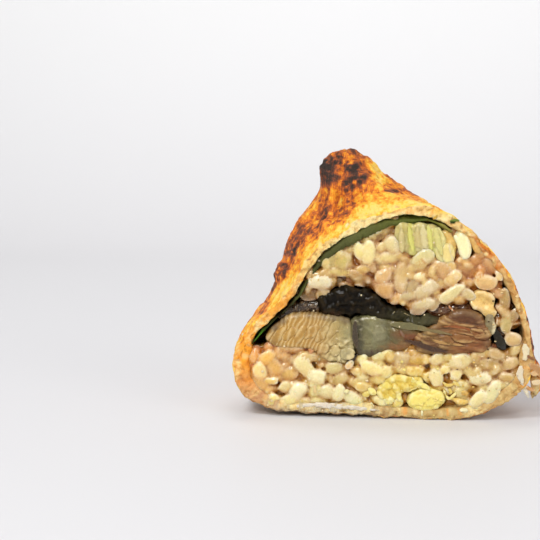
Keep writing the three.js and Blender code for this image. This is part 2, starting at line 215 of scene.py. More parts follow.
def move_points(mesh, points):
    """Puts the mesh's points at these places, in millimetres."""
    mesh.vertices.foreach_set("co", (points * MM).astype(np.float32).ravel())
    mesh.update()


def paint(mesh, name, values):
    """Stores a number, or a colour of three numbers, at each point for the materials to read."""
    values = np.asarray(values, np.float32)
    if values.ndim == 1:
        mesh.attributes.new(name, "FLOAT", "POINT").data.foreach_set("value", values)
        return
    colours = np.concatenate([values, np.ones((len(values), 1), np.float32)], axis=1)
    layer = mesh.attributes.new(name, "FLOAT_COLOR", "POINT")
    layer.data.foreach_set("color", colours.ravel())


def hollows(mesh, rounds=5):
    """How far each point lies below the surface around it, in millimetres."""
    ends = np.empty(len(mesh.edges) * 2, np.int32)
    mesh.edges.foreach_get("vertices", ends)
    a, b = ends.reshape(-1, 2).T
    start = points_of(mesh)
    size = len(start)
    count = np.bincount(ends, minlength=size)[:, None] + 1e-9
    points = start
    for _ in range(rounds):
        sums = [
            np.bincount(a, points[b, i], size) + np.bincount(b, points[a, i], size)
            for i in range(3)
        ]
        points = 0.4 * points + 0.6 * np.column_stack(sums) / count
    return np.einsum("ij,ij->i", points - start, normals_of(mesh))


def deepened(tints, share, code):
    """Multiplies the tints by a web colour, by each point's share."""
    return tints * (1 - np.clip(share, 0, 1)[:, None] * (1 - np.array(linear(code))))


def painted_shade_and_highlights(mesh, tints, deep="#a5713a", reach=0.3, dark=0.7, light=0.2, pale="#fff3d6"):
    """The mesh with the tints, painted shade in its hollows and painted highlights on its crests.
    """
    hollow = hollows(mesh)
    # Painted shade in the hollows, then painted highlights on the crests.
    tints = deepened(tints, dark * smooth_step(0.0, reach, hollow), deep)
    paint(mesh, "tint", blend(tints, light * smooth_step(0.0, -reach, hollow), pale))
    return mesh


def raised(mesh, lift):
    """Moves the surface out by each point's lift, in millimetres, but not past the cut."""
    points = points_of(mesh) + normals_of(mesh) * lift[:, None]
    points[:, 1] = np.maximum(points[:, 1], CUT + 0.05)
    move_points(mesh, points)


def new_mesh(name, points, faces):
    """A mesh from points in millimetres and lists of point numbers."""
    mesh = bpy.data.meshes.new(name)
    mesh.from_pydata((np.asarray(points) * MM).tolist(), [], [list(map(int, f)) for f in faces])
    mesh.update()
    return mesh


def remeshed(mesh, voxel, smoothing):
    """The same form with an even fine mesh, its edges softened by some rounds of smoothing."""
    scratch = bpy.data.objects.new("scratch", mesh)
    bpy.context.scene.collection.objects.link(scratch)
    even = scratch.modifiers.new("even", "REMESH")
    even.mode, even.voxel_size, even.use_smooth_shade = "VOXEL", voxel * MM, True
    soft = scratch.modifiers.new("soft", "SMOOTH")
    soft.factor, soft.iterations = 0.5, smoothing
    evaluated = scratch.evaluated_get(bpy.context.evaluated_depsgraph_get())
    made = bpy.data.meshes.new_from_object(evaluated)
    bpy.data.objects.remove(scratch)
    return made


def node_mesh(node, voxel, smoothing):
    """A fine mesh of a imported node's form, and its points."""
    mesh = remeshed(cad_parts[node].data.copy(), voxel, smoothing)
    return mesh, points_of(mesh)


def joined(parts):
    """Points, faces and one value a point, from several (points, faces, value) parts."""
    points, faces, values, start = [], [], [], 0
    for part_points, part_faces, value in parts:
        points.append(part_points)
        faces.append(np.asarray(part_faces) + start)
        values.append(np.broadcast_to(value, (len(part_points), 3)))
        start += len(part_points)
    return np.concatenate(points), np.concatenate(faces), np.concatenate(values)


def fused(name, parts, voxel, smoothing):
    """One mesh of parts that stick together, and each point's tint, that of the part next to it."""
    points, faces, tints = joined(parts)
    mesh = remeshed(new_mesh(name, points, faces), voxel, smoothing)
    tree = KDTree(len(points))
    for i, point in enumerate(points):
        tree.insert(point, i)
    tree.balance()
    return mesh, tints[[tree.find(point)[1] for point in points_of(mesh)]]


def node_part(node, code):
    """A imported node's points and triangles in one colour, to be fused with others."""
    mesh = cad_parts[node].data
    return points_of(mesh), [list(p.vertices) for p in mesh.polygons], linear(code)


def strand(path, width, thickness, behind, sides=10, steps=16):
    """Points and faces of a flat tapering strand along x, z places, behind the cut."""
    path = np.array([(x, CUT + behind + thickness / 2, z) for x, z in path])
    spans = np.concatenate([[0], np.cumsum(np.linalg.norm(np.diff(path, axis=0), axis=1))])
    at = np.linspace(0, spans[-1], steps)
    line = np.column_stack([np.interp(at, spans, path[:, i]) for i in range(3)])
    for _ in range(3):
        line[1:-1] = (line[:-2] + 2 * line[1:-1] + line[2:]) / 4
    run = np.gradient(line, axis=0)
    run /= np.linalg.norm(run, axis=1, keepdims=True)
    across = np.cross(run, (0, 1, 0))
    across /= np.linalg.norm(across, axis=1, keepdims=True)
    share = np.linspace(0, 1, steps)
    swell = np.clip(4 * share * (1 - share), 0.05, 1) ** 0.4
    swell = swell * (1 + 0.2 * noise_at(line / 1.5 + behind, 17))
    points, faces = [], []
    for i in range(steps):
        for j in range(sides):
            turn = math.tau * j / sides
            side = across[i] * math.cos(turn) * width / 2
            deep = np.array((0, math.sin(turn) * thickness / 2, 0))
            points.append(line[i] + (side + deep) * swell[i])
    for i in range(steps - 1):
        for j in range(sides):
            a, b, k = i * sides, (i + 1) * sides, (j + 1) % sides
            faces += [(a + j, b + j, b + k), (a + j, b + k, a + k)]
    last = (steps - 1) * sides
    for j in range(1, sides - 1):
        faces += [(0, j, j + 1), (last, last + j + 1, last + j)]
    return np.array(points), faces


def add_piece(name, mesh, material, slot, *nodes):
    """Shows the mesh as a piece that stands for the nodes and rides with the whole."""
    mesh.materials.clear()
    mesh.materials.append(material)
    mesh.shade_smooth()
    piece = bpy.data.objects.new(name, mesh)
    bpy.context.scene.collection.objects.link(piece)
    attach(piece, "root")
    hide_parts(*nodes)


def add_strands(name, table, voxel, rough, material, slot, node, *shade_and_highlight, stains=()):
    """Shows the strands of a table, stuck together, as one more piece that stands for the node."""
    parts = []
    for width, thickness, behind, code, path in table:
        parts.append((*strand(path, width, thickness, behind), linear(code)))
    mesh, tints = fused(name, parts, voxel, 1)
    raised(mesh, rough_noise(points_of(mesh) / 0.9, 2, 19) * rough)
    tints = dab(tints, points_of(mesh)[:, (0, 2)], *stains)
    # Painted shade in the strands' hollows and painted highlights on their crests.
    add_piece(name, painted_shade_and_highlights(mesh, tints, *shade_and_highlight), material, slot, node)


# Materials


class Weave:
    """Adds shader nodes to a tree and joins them."""

    def __init__(self, tree):
        self.tree = tree

    def add(self, kind, inputs=None, **settings):
        node = self.tree.nodes.new(kind)
        for name, value in settings.items():
            setattr(node, name, value)
        for name, value in (inputs or {}).items():
            self.put(value, node.inputs[name])
        return node

    def put(self, value, socket):
        if isinstance(value, bpy.types.NodeSocket):
            self.tree.links.new(value, socket)
        elif socket.type == "RGBA":
            socket.default_value = (*value[:3], 1)
        else:
            socket.default_value = value

    def place(self):
        """The place on the object in millimetres."""
        place = self.add("ShaderNodeTexCoord").outputs["Object"]
        return self.add("ShaderNodeMapping", {"Vector": place, "Scale": (1 / MM,) * 3}).outputs[0]

    def noise(self, vector, scale, detail=2.0, distortion=0.0):
        inputs = {"Vector": vector, "Scale": scale, "Detail": detail, "Distortion": distortion}
        return self.add("ShaderNodeTexNoise", inputs).outputs[0]

    def maths(self, operation, *values):
        node = self.add("ShaderNodeMath", dict(enumerate(values)), operation=operation)
        return node.outputs[0]

    def vector(self, operation, *values):
        node = self.add("ShaderNodeVectorMath", dict(enumerate(values)), operation=operation)
        return node.outputs["Value" if operation == "LENGTH" else "Vector"]

    def combine(self, *values):
        return self.add("ShaderNodeCombineXYZ", dict(enumerate(values))).outputs[0]

    def between(self, value, low, high):
        """0 where the value is low and 1 where it is high."""
        inputs = {"Value": value, "From Min": low, "From Max": high}
        return self.add("ShaderNodeMapRange", inputs, clamp=True).outputs[0]

    def ramp(self, value, *stops):
        """A colour for each value, from (place, web colour) stops."""
        node = self.add("ShaderNodeValToRGB", {"Fac": value})
        elements = node.color_ramp.elements
        while len(elements) < len(stops):
            elements.new(0.5)
        for element, (place, code) in zip(elements, stops):
            element.position = place
            element.color = (*linear(code), 1)
        return node.outputs["Color"]

    def mix(self, factor, first, second, way="MIX"):
        inputs = {0: factor, 6: first, 7: second}
        node = self.add("ShaderNodeMix", inputs, data_type="RGBA", blend_type=way)
        return node.outputs[2]

    def painted(self, name, output="Fac"):
        node = self.add("ShaderNodeAttribute", attribute_name=name)
        return node.outputs[output]

    def bump(self, height, distance, strength):
        inputs = {"Height": height, "Distance": distance * MM, "Strength": strength}
        return self.add("ShaderNodeBump", inputs).outputs["Normal"]


def new_group(name, **numbers):
    """A shader node group that takes a vector and the numbers and puts out a mask; its two ends."""
    tree = bpy.data.node_groups.new(name, "ShaderNodeTree")
    tree.interface.new_socket("Vector", in_out="INPUT", socket_type="NodeSocketVector")
    for label, value in numbers.items():
        socket = tree.interface.new_socket(label, in_out="INPUT", socket_type="NodeSocketFloat")
        socket.default_value = value
    tree.interface.new_socket("Mask", in_out="OUTPUT", socket_type="NodeSocketFloat")
    weave = Weave(tree)
    return weave, weave.add("NodeGroupInput").outputs, weave.add("NodeGroupOutput").inputs


def group(name):
    """The named shader node group, made the first time it is asked for."""
    return bpy.data.node_groups.get(name) or GROUPS[name](name)


def mottle_group(name):
    """Soft patches with finer ones in them, for colour that is uneven as food is."""
    weave, start, end = new_group(name, Patch=4.0)
    scale = weave.maths("DIVIDE", 1.0, start["Patch"])
    broad = weave.noise(start["Vector"], scale, 1.0, 0.3)
    fine = weave.noise(start["Vector"], weave.maths("MULTIPLY", scale, 5.0), 2.0)
    both = weave.maths("MULTIPLY_ADD", fine, 0.4, weave.maths("MULTIPLY", broad, 0.6))
    weave.put(weave.between(both, 0.33, 0.67), end["Mask"])
    return weave.tree


def pores_group(name):
    """Small round pits with soft edges: 1 at the bottom of a pit."""
    weave, start, end = new_group(name, Size=1.0, Share=0.5)
    scale = weave.maths("DIVIDE", 1.0, start["Size"])
    bend = {"Vector": start["Vector"], "Scale": 0.9}
    bend = weave.add("ShaderNodeTexNoise", bend).outputs["Color"]
    bent = weave.vector("MULTIPLY_ADD", bend, (1.4, 1.4, 1.4), start["Vector"])
    cells = weave.add("ShaderNodeTexVoronoi", {"Vector": bent, "Scale": scale})
    pit = weave.between(cells.outputs["Distance"], 0.42, 0.1)
    where = weave.noise(start["Vector"], weave.maths("MULTIPLY", scale, 0.45), 1.0)
    limit = weave.maths("SUBTRACT", 1.0, start["Share"])
    chosen = weave.between(where, limit, weave.maths("ADD", limit, 0.12))
    weave.put(weave.maths("MULTIPLY", pit, chosen), end["Mask"])
    return weave.tree


def fibres_group(name):
    """Fine strands that run along the vector's third axis: 1 on a strand's crest."""
    weave, start, end = new_group(name, Width=0.5, Length=6.0)
    across = weave.maths("DIVIDE", 1.0, start["Width"])
    scale = weave.combine(across, across, weave.maths("DIVIDE", 1.0, start["Length"]))
    drawn = weave.noise(weave.vector("MULTIPLY", start["Vector"], scale), 1.0, 2.0, 0.4)
    weave.put(weave.between(drawn, 0.3, 0.7), end["Mask"])
    return weave.tree


GROUPS = {"mottle": mottle_group, "pores": pores_group, "fibres": fibres_group}


def new_material(name):
    """A material with one Principled BSDF, and the weave that adds nodes to it."""
    material = bpy.data.materials.new(name)
    material.use_nodes = True
    weave = Weave(material.node_tree)
    return material, weave, material.node_tree.nodes["Principled BSDF"]


def place_group(weave, name, **inputs):
    """A shared shader group's mask, placed in a material with its own values."""
    node = weave.add("ShaderNodeGroup", node_tree=group(name))
    for label, value in inputs.items():
        weave.put(value, node.inputs[label])
    return node.outputs["Mask"]


def set_gloss(shader, **values):
    """Sets the shader's own plain sockets, such as Roughness or Coat_Weight."""
    for name, value in values.items():
        shader.inputs[name.replace("_", " ")].default_value = value


def soft_inside(shader, weight, reach, spread):
    """Lets light travel reach millimetres under the surface, spread by red, green and blue."""
    set_gloss(
        shader,
        Subsurface_Weight=weight,
        Subsurface_Scale=reach * MM,
        Subsurface_Radius=spread,
    )


def skin_material():
    """Deep-fried tofu skin, yellow where it is clean and burnt along its pulled fibres."""
    material, weave, shader = new_material("tofu_skin")
    place = weave.place()
    axis = weave.vector("SUBTRACT", place, KNOB)
    away = weave.vector("NORMALIZE", weave.vector("MULTIPLY", axis, (1, 1, 0)))
    turn = weave.add("ShaderNodeSeparateXYZ", {0: away}).outputs
    round_knob = weave.combine(turn[0], turn[1], weave.vector("LENGTH", axis))
    broad = place_group(weave, "fibres", Vector=round_knob, Width=0.13, Length=11.0)
    fine = place_group(weave, "fibres", Vector=round_knob, Width=0.028, Length=5.0)
    patch = place_group(weave, "mottle", Vector=place, Patch=5.0)
    grit = place_group(weave, "mottle", Vector=place, Patch=1.1)

    char = weave.maths("MULTIPLY_ADD", broad, 0.18, weave.painted("char"))
    char = weave.maths("MULTIPLY_ADD", fine, 0.12, char)
    char = weave.maths("MULTIPLY_ADD", patch, 0.28, char)
    char = weave.maths("MULTIPLY_ADD", grit, 0.38, char)
    char = weave.maths("SUBTRACT", char, 0.49)
    outside = weave.ramp(
        char,
        (0.0, "#fcd56e"),
        (0.14, "#fdcb46"),
        (0.3, "#f8a628"),
        (0.44, "#e8821e"),
        (0.58, "#bb5c22"),
        (0.71, "#864426"),
        (0.86, "#543229"),
        (1.0, "#2e2422"),
    )
    pores = place_group(weave, "pores", Vector=place, Size=1.3, Share=0.55)
    crumb = place_group(weave, "mottle", Vector=place, Patch=1.6)
    light = weave.ramp(crumb, (0.0, "#dcb678"), (0.5, "#f8ecc8"), (1.0, "#fffbe6"))
    cream = weave.mix(0.85, weave.painted("rim", "Color"), light, "MULTIPLY")
    cream = weave.mix(weave.maths("MULTIPLY", pores, 0.4), cream, linear("#b5843c"))
    inside = weave.maths("MULTIPLY_ADD", crumb, 0.35, weave.painted("bare"))
    colour = weave.mix(weave.between(inside, 0.45, 0.75), outside, cream)
    # Greyer brown on the outer skin low down, and on faces that look down at its foot.
    low_grey = weave.painted("underside")
    colour = weave.mix(low_grey, colour, linear("#8f7c68"))
    # Painted shade: darker in the skin's crevices.
    crevice_shade = weave.maths("MULTIPLY", weave.painted("painted_crevice_shade"), 0.65)
    colour = weave.mix(crevice_shade, colour, linear("#a5622c"), "MULTIPLY")
    weave.put(colour, shader.inputs["Base Color"])
    gloss = weave.between(char, -0.2, 1.3)
    weave.put(weave.maths("MULTIPLY_ADD", gloss, 0.35, 0.36), shader.inputs["Roughness"])
    height = weave.maths("MULTIPLY_ADD", fine, 0.6, weave.maths("MULTIPLY", grit, 0.5))
    height = weave.maths("SUBTRACT", height, weave.maths("MULTIPLY", pores, 0.6))
    weave.put(weave.bump(height, 0.35, 0.8), shader.inputs["Normal"])
    soft_inside(shader, 0.12, 0.8, (1.0, 0.5, 0.25))
    set_gloss(shader, Specular_IOR_Level=0.45, Specular_Tint=(1, 0.88, 0.7, 1))
    return material


# Finishes: size of the patches, how pale and how dull they are, roughness, relief, how much light
# goes in and how far, shine, coat and the coat's roughness. Lengths are millimetres.
FINISHES = {
    "rice": (1.6, 0.3, 0.15, 0.2, 0.1, 0.9, 2.0, 0.6, 0.5, 0.08),
    "eel_flesh": (1.0, 0.3, 0.4, 0.3, 0.12, 0.25, 0.8, 0.5, 0.3, 0.15),
    "eel_wet": (1.6, 0.25, 0.3, 0.16, 0.08, 0.4, 1.6, 0.5, 0.5, 0.08),
    "eel_skin": (0.9, 0.1, 0.3, 0.5, 0.4, 0.0, 0.5, 0.1, 0.16, 0.05),
    "sauce": (1.0, 0.3, 0.4, 0.14, 0.1, 0.35, 1.2, 0.5, 0.7, 0.06),
    "green_leaf": (1.5, 0.15, 0.4, 0.5, 0.12, 0.15, 0.5, 0.2, 0.0, 0.03),
    "nori": (0.8, 0.1, 0.4, 0.3, 0.2, 0.0, 0.5, 0.3, 0.2, 0.1),
    "vegetable": (1.5, 0.3, 0.15, 0.18, 0.06, 0.65, 2.2, 0.5, 0.4, 0.1),
    "egg": (0.8, 0.3, 0.15, 0.35, 0.12, 0.35, 1.4, 0.5, 0.15, 0.03),
    "pale_piece": (1.0, 0.3, 0.3, 0.28, 0.12, 0.45, 1.4, 0.5, 0.3, 0.1),
    "torn_skin": (1.0, 0.3, 0.3, 0.3, 0.15, 0.4, 1.2, 0.5, 0.2, 0.15),
    "crumbs": (0.6, 0.2, 0.2, 0.35, 0.05, 0.1, 0.4, 0.5, 0.0, 0.03),
}


def food_material(name):
    """A food finish over the painted tint: paler and duller patches, and fine relief."""
    patch, pale, dull, roughness, relief, soft, reach, shine, coat, coat_rough = FINISHES[name]
    material, weave, shader = new_material(name)
    place = weave.place()
    cloud = place_group(weave, "mottle", Vector=place, Patch=patch)
    fine = place_group(weave, "mottle", Vector=place, Patch=patch * 0.3)
    tint = weave.painted("tint", "Color")
    lit = weave.mix(weave.maths("MULTIPLY", cloud, pale), tint, linear("#fff2d2"), "SOFT_LIGHT")
    colour = weave.mix(weave.maths("MULTIPLY", fine, dull), lit, linear("#c2975a"), "MULTIPLY")
    weave.put(colour, shader.inputs["Base Color"])
    weave.put(weave.maths("MULTIPLY_ADD", cloud, 0.15, roughness), shader.inputs["Roughness"])
    height = weave.maths("MULTIPLY_ADD", fine, 0.5, cloud)
    weave.put(weave.bump(height, relief, 0.6), shader.inputs["Normal"])
    soft_inside(shader, soft, reach, (1.0, 0.85, 0.6))
    set_gloss(
        shader,
        Specular_IOR_Level=shine,
        Specular_Tint=(1, 0.86, 0.62, 1),
        Coat_Weight=coat,
        Coat_Roughness=coat_rough,
    )
    return material


# The pouch's skin


# Where the grill burnt or spared the skin as seen from in front of the cut: x, z, half width,
# half height, turn in degrees and how much darker.
GRILL_MARKS = (
    (-16.7, 70.4, 2.5, 4.2, 85, 0.36),
    (-16.1, 66.8, 2.1, 2.1, 0, 0.32),
    (-12.8, 72.3, 4.6, 1.3, -10, 0.5),
    (-17.5, 72.0, 1.7, 2.2, 60, 0.30),
    (-7.7, 73.6, 3.3, 0.7, -25, 0.28),
    (-3.0, 69.3, 2.6, 3.4, 0, -0.35),
    (-9.5, 69.6, 3.8, 2.0, 20, 0.38),
    (-0.4, 68.7, 0.8, 2.8, 30, 0.45),
    (-7.7, 67.6, 2.5, 1.2, 20, 0.40),
    (-10.5, 65.6, 3.3, 1.2, 10, 0.35),
    (-12.8, 63.4, 3.9, 1.4, 50, 0.30),
    (-11.6, 59.5, 2.5, 1.4, 35, 0.50),
    (-13.9, 56.5, 2.8, 1.6, 50, 0.35),
    (0.1, 64.4, 5.0, 0.7, 5, 0.35),
    (6.2, 63.4, 3.9, 0.6, -20, 0.30),
    (3.4, 62.0, 5.0, 0.5, 0, 0.20),
    (11.7, 61.5, 2.8, 0.7, -30, 0.25),
    (-5.5, 64.5, 2.8, 0.8, 0, 0.20),
    (4.0, 59.5, 7.2, 1.6, -3, -0.20),
    (-5.0, 58.1, 3.3, 1.4, 25, -0.12),
    (-17.8, 57.0, 3.9, 1.9, 55, 0.38),
    (-20.0, 53.7, 2.8, 1.4, 50, 0.30),
    (-24.5, 50.9, 5.0, 2.5, 55, 0.24),
    (-24.7, 47.5, 3.3, 1.7, 60, 0.30),
    (-27.2, 45.3, 4.5, 1.9, 60, 0.26),
    (-30.0, 40.3, 3.9, 1.2, 65, 0.45),
    (-31.1, 42.5, 1.7, 1.1, 60, 0.50),
    (-27.8, 42.0, 3.3, 0.7, 60, 0.20),
    (-32.8, 35.3, 3.3, 0.8, 60, 0.45),
    (-34.8, 30.8, 2.8, 0.8, 50, 0.30),
    (-22.8, 45.3, 2.8, 1.7, 55, -0.15),
    (-27.2, 36.4, 3.9, 1.9, 60, -0.15),
    (-31.1, 30.8, 3.3, 1.4, 50, -0.05),
    (-35.0, 26.7, 2.2, 1.2, 60, 0.25),
    (22.9, 55.3, 3.9, 0.7, -45, 0.30),
    (28.5, 49.2, 3.9, 0.8, -50, 0.30),
    (33.5, 43.1, 3.9, 0.7, -58, 0.35),
    (36.3, 36.4, 3.6, 1.0, -65, 0.55),
    (39.0, 28.6, 3.6, 1.1, -70, 0.55),
    (41.0, 21.0, 3.0, 5.0, 0, 0.45),
    (42.5, 12.0, 3.0, 4.0, 0, 0.35),
)


def as_seen(points):
    """Where someone in front sees each point on the plane of the cut: x and z in millimetres."""
    share = (EYE_DISTANCE / (EYE_DISTANCE + points[:, 1] - CUT))[:, None]
    eye = np.array((0, EYE_HEIGHT))
    return eye + (points[:, (0, 2)] - eye) * share


def from_knob(points):
    """Each point's direction away from the knob's axis, and its distance from the knob's foot."""
    axis = points - KNOB
    away = axis[:, :2] / (np.linalg.norm(axis[:, :2], axis=1, keepdims=True) + 0.5)
    return away, np.linalg.norm(axis, axis=1)


def skin_char(points, normals):
    """How burnt each point of the skin is."""
    places, height = as_seen(points), points[:, 2]
    away, reach = from_knob(points)
    streaks = rough_noise(np.column_stack([away * 9, reach * 0.16]), 3, 55)
    grit = rough_noise(points / 1.1, 3, 56)
    knob = smooth_step(KNOB_FOOT + 1, KNOB_FOOT + 5, height)
    streaks = streaks * (1 - knob) + knob * rough_noise(points / 2.6, 3, 54)
    wobble = 0.5 * flat_noise(places * 0.45, 3.5, 51) + 0.3 * streaks
    marks = np.zeros(len(points))
    for *mark, strength in GRILL_MARKS:
        marks += strength * smooth_step(1.7, 0.1, oval(places, *mark) + wobble)
    marks = np.minimum(marks, 0.5)
    flecks = smooth_step(0.05, 0.6, rough_noise(points / 1.1, 3, 58))
    flecks = flecks * smooth_step(0.15, 0.5, marks)
    char = 0.16 + 0.13 * behind_cut(points, 2, 10) + 0.14 * streaks + 0.1 * grit
    char += 0.12 * knob
    char += (marks * (1 + 0.25 * streaks) - 0.3 * flecks) * behind_cut(points, 32, 18)
    back = 0.1 + 0.26 * rough_noise(points / 10.0, 2, 53)
    back += 0.12 * smooth_step(0.2, 0.8, normals[:, 0])
    back += 0.25 * smooth_step(52, 66, height)
    char += back * behind_cut(points, 16, 30)
    left = smooth_step(0.15, 0.75, -normals[:, 0]) * behind_cut(points, 6, 14)
    char += 0.16 * left * smooth_step(10, 30, height)
    low = smooth_step(14, 4, height)
    return char * (1 - 0.35 * low) + 0.14 * low


# Stains on the skin's cut edge, and a thin painted shadow along its foot: x, z, half width,
# half height, turn in degrees, strength, colour.
RIM_STAINS_AND_SHADOW = (
    (-24, 42, 16, 3.2, 52, 0.45, "#f9c65a"),
    (-31, 32, 9, 3.0, 50, 0.9, "#f7ac36"),
    (-39, 17, 5, 10, 0, 1.0, "#ffae34"),
    (-36, 19.6, 1.2, 2.0, 0, 0.9, "#8f3c10"),
    (-40, 8, 6, 4, -40, 0.8, "#e2a064"),
    (-35, 3, 6, 3, -30, 0.8, "#c49474"),
    (-18, 1, 13, 2.2, 0, 0.95, "#c0b6a8"),
    # A thin painted shadow along the foot of the cut edge.
    (-16, 0.2, 14, 0.8, 0, 0.5, "#5a5048"),
    (-2, 1, 5, 2, 0, 0.8, "#8a6650"),
    (13, 1, 14, 2.4, 0, 0.8, "#b49660"),
    (32, 5, 9, 4, 40, 0.8, "#bf9c68"),
    (38, 20, 5, 12, 0, 0.75, "#c8985c"),
    (35, 38, 5, 9, 20, 0.8, "#c08c4a"),
    (28, 50, 6, 5, 45, 1.0, "#d67c1c"),
    (31.5, 45, 3, 4, 45, 0.9, "#d07a24"),
    (20, 56, 6, 2, 25, 0.6, "#e2b060"),
    (4, 59, 12, 1.2, 0, 0.6, "#f5b444"),
    (14, 58.5, 4, 1.2, 0, 0.7, "#f9cf58"),
    (31.9, 49.1, 4.2, 0.9, -50, 0.8, "#94521e"),
    (35.4, 42.8, 4.2, 0.9, -62, 0.85, "#64351f"),
    (38.1, 36.0, 4.0, 0.9, -70, 0.85, "#582c1e"),
    (40.0, 29.2, 4.0, 0.9, -76, 0.85, "#502a1e"),
    (41.4, 22.0, 4.0, 0.9, -80, 0.8, "#5e3422"),
)


def rim_tints(points):
    """The cut edge's own colours: cream, oily orange at the corners, tan and grey where it lay,
    and on top of them a thin painted shadow along its foot.
    """
    tints = plain(points, "#f9eab8")
    tints = dab(tints, points[:, (0, 2)], *RIM_STAINS_AND_SHADOW, ragged=0.5, seed=36)
    spots = noise_at(points / 1.7, 37)
    return shaded(tints, spots, (0.6, 0.45, 0.8, "#ee9c34"), (0.5, -0.4, -0.8, "#fff0c6"))


def skin_lift(points):
    """How far the skin's gathers, wrinkles and blisters stand out, in millimetres."""
    away, reach = from_knob(points)
    knob = smooth_step(KNOB_FOOT + 1, KNOB_FOOT + 6, points[:, 2])
    pulled = np.column_stack([away * 3.2, reach * 0.05])
    gathers = np.column_stack([away * 11, reach * 0.16])
    near = np.exp(-((reach / 22) ** 2))
    lift = (ridges(pulled, 5) - 0.5) * (0.3 + 0.8 * near) * (1 - 0.7 * knob)
    lift += (ridges(gathers, 9) - 0.5) * 0.4 * (1 - 0.6 * knob)
    lift += rough_noise(points / 5.0, 2, 3) * 0.35
    lift += rough_noise(points / 1.5, 3, 4) * 0.2
    lift += knob * (rough_noise(points / 2.6, 3, 21) * 0.6)
    blister = oval(as_seen(points), -30.2, 41.6, 1.6, 2.6, -20)
    blister = blister + 0.3 * noise_at(points / 1.5, 57)
    return lift + 1.3 * smooth_step(1.2, 0.5, blister) * behind_cut(points, 28, 20)


def skin_mesh(settings):
    """The skin's form with its gathers, wrinkles, blisters and ragged spongy cut edge."""
    mesh, points = node_mesh("tofu_skin", settings.fineness, 6)
    normals = normals_of(mesh)
    middle = np.array([-1.0, CUT + 12.0, 27.0])
    outward = points - middle
    facing = np.einsum("ij,ij->i", normals, outward) / np.linalg.norm(outward, axis=1)
    spread = outward[:, (0, 2)] / np.linalg.norm(outward[:, (0, 2)], axis=1, keepdims=True)
    sideways = np.einsum("ij,ij->i", normals[:, (0, 2)], spread)
    torn = 0.35 * rough_noise(points / 1.3, 3, 34)
    edge = smooth_step(0.8, 0.35, sideways + torn) * smooth_step(-0.1, -0.5, normals[:, 1])
    edge *= behind_cut(points, 2.8, 1.4)
    outer = smooth_step(-0.05, 0.2, facing) * (1 - edge)
    inner = (1 - outer) * (1 - edge)

    lift = skin_lift(points) * outer
    crumbly = rough_noise(points / 1.3, 3, 13)
    pits = np.maximum(0, noise_at(points / 1.0, 31) - 0.15)
    lift -= edge * (0.3 + 0.4 * crumbly + 0.8 * pits)
    sagging = 1.6 * smooth_step(24, 19, points[:, 2])
    lift += inner * (rough_noise(points / 2.0, 2, 8) * 0.2 + sagging)
    moved = points + normals * lift[:, None]
    rim = behind_cut(points, 3.2, 1.0) * (1 - outer)
    scallops = rough_noise(points / 2.4, 2, 33)
    moved[:, (0, 2)] += spread * (rim * scallops * 0.45)[:, None]
    moved[:, 1] = np.maximum(moved[:, 1], CUT)
    moved[:, 2] = np.maximum(moved[:, 2], 0)

    bare = np.maximum(edge, 1 - smooth_step(-0.2, 0.1, facing))
    x, z = points[:, 0], points[:, 2]
    under = smooth_step(-0.3, -0.8, normals[:, 2]) * smooth_step(12, -8, x)
    under = under * smooth_step(3.4, 1.4, z)
    paint(mesh, "char", skin_char(points, normals))
    paint(mesh, "bare", bare)
    paint(mesh, "rim", rim_tints(points))
    paint(mesh, "underside", np.maximum(0.85 * under, 0.65 * outer * smooth_step(12, 5, z)))
    move_points(mesh, moved)
    # Painted shade: a mask of how deep each point lies in a crevice, weaker on the bare cut edge.
    paint(mesh, "painted_crevice_shade", smooth_step(0.0, 0.35, hollows(mesh, 6)) * (1 - 0.4 * bare))
    return mesh


# Rice


# Grains are tested against their layer at least this deep behind the cut. Whether a point lies
# inside is found by counting the surfaces that are met along this way.
PROBE_DEPTH = 5.5
PROBE_WAY = Vector((0.137, 0.211, 0.968)).normalized()
# Packed grains: up to which share of them, and the nearest and farthest depth behind the cut.
GRAIN_DEPTHS = ((0.5, 2.3, 3.5), (0.8, 3.8, 5.8), (1.0, 6.0, 9.0))
# How many spots are looked at for a grain, how many of them are used, how many grains are turned
# and tried at each, and how many grains may be given up.
SPOTS_SEEN, SPOTS_USED, TURNS_TRIED, MOST_FAILURES = 24, 4, 8, 400


def depth_in(tree, point):
    """How deep a point lies in the closed form of a search tree, less than 0 outside it."""
    start, crossings = Vector(point), 0
    while True:
        hit = tree.ray_cast(start, PROBE_WAY)[0]
        if hit is None:
            break
        crossings += 1
        start = hit + PROBE_WAY * 1e-4
    gap = tree.find_nearest(point)[3]
    return gap if crossings % 2 else -gap


def search_tree(*nodes):
    """A search tree of these nodes' surfaces, in millimetres."""
    points, faces = [], []
    for node in nodes:
        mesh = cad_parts[node].data
        start = len(points)
        points += [v.co / MM for v in mesh.vertices]
        faces += [[start + i for i in p.vertices] for p in mesh.polygons]
    return BVHTree.FromPolygons(points, faces)


def ball(segments, rings):
    """Points and triangles of a ball of radius 1 with its poles on X."""
    points = [(1.0, 0.0, 0.0)]
    for i in range(1, rings):
        tilt = math.pi * i / rings
        for j in range(segments):
            turn = math.tau * (j + 0.5 * (i % 2)) / segments
            out = math.sin(tilt)
            points.append((math.cos(tilt), out * math.cos(turn), out * math.sin(turn)))
    points.append((-1.0, 0.0, 0.0))
    last = len(points) - 1
    faces = []
    for j in range(segments):
        k = (j + 1) % segments
        faces.append((0, 1 + j, 1 + k))
        faces.append((last, last - segments + k, last - segments + j))
        for i in range(rings - 2):
            a, b = 1 + i * segments, 1 + (i + 1) * segments
            faces.append((a + j, b + j, b + k))
            faces.append((a + j, b + k, a + k))
    return np.array(points), np.array(faces)


GRAIN_POINTS, GRAIN_FACES = ball(12, 9)
SHOWN_POINTS, SHOWN_FACES = ball(22, 15)


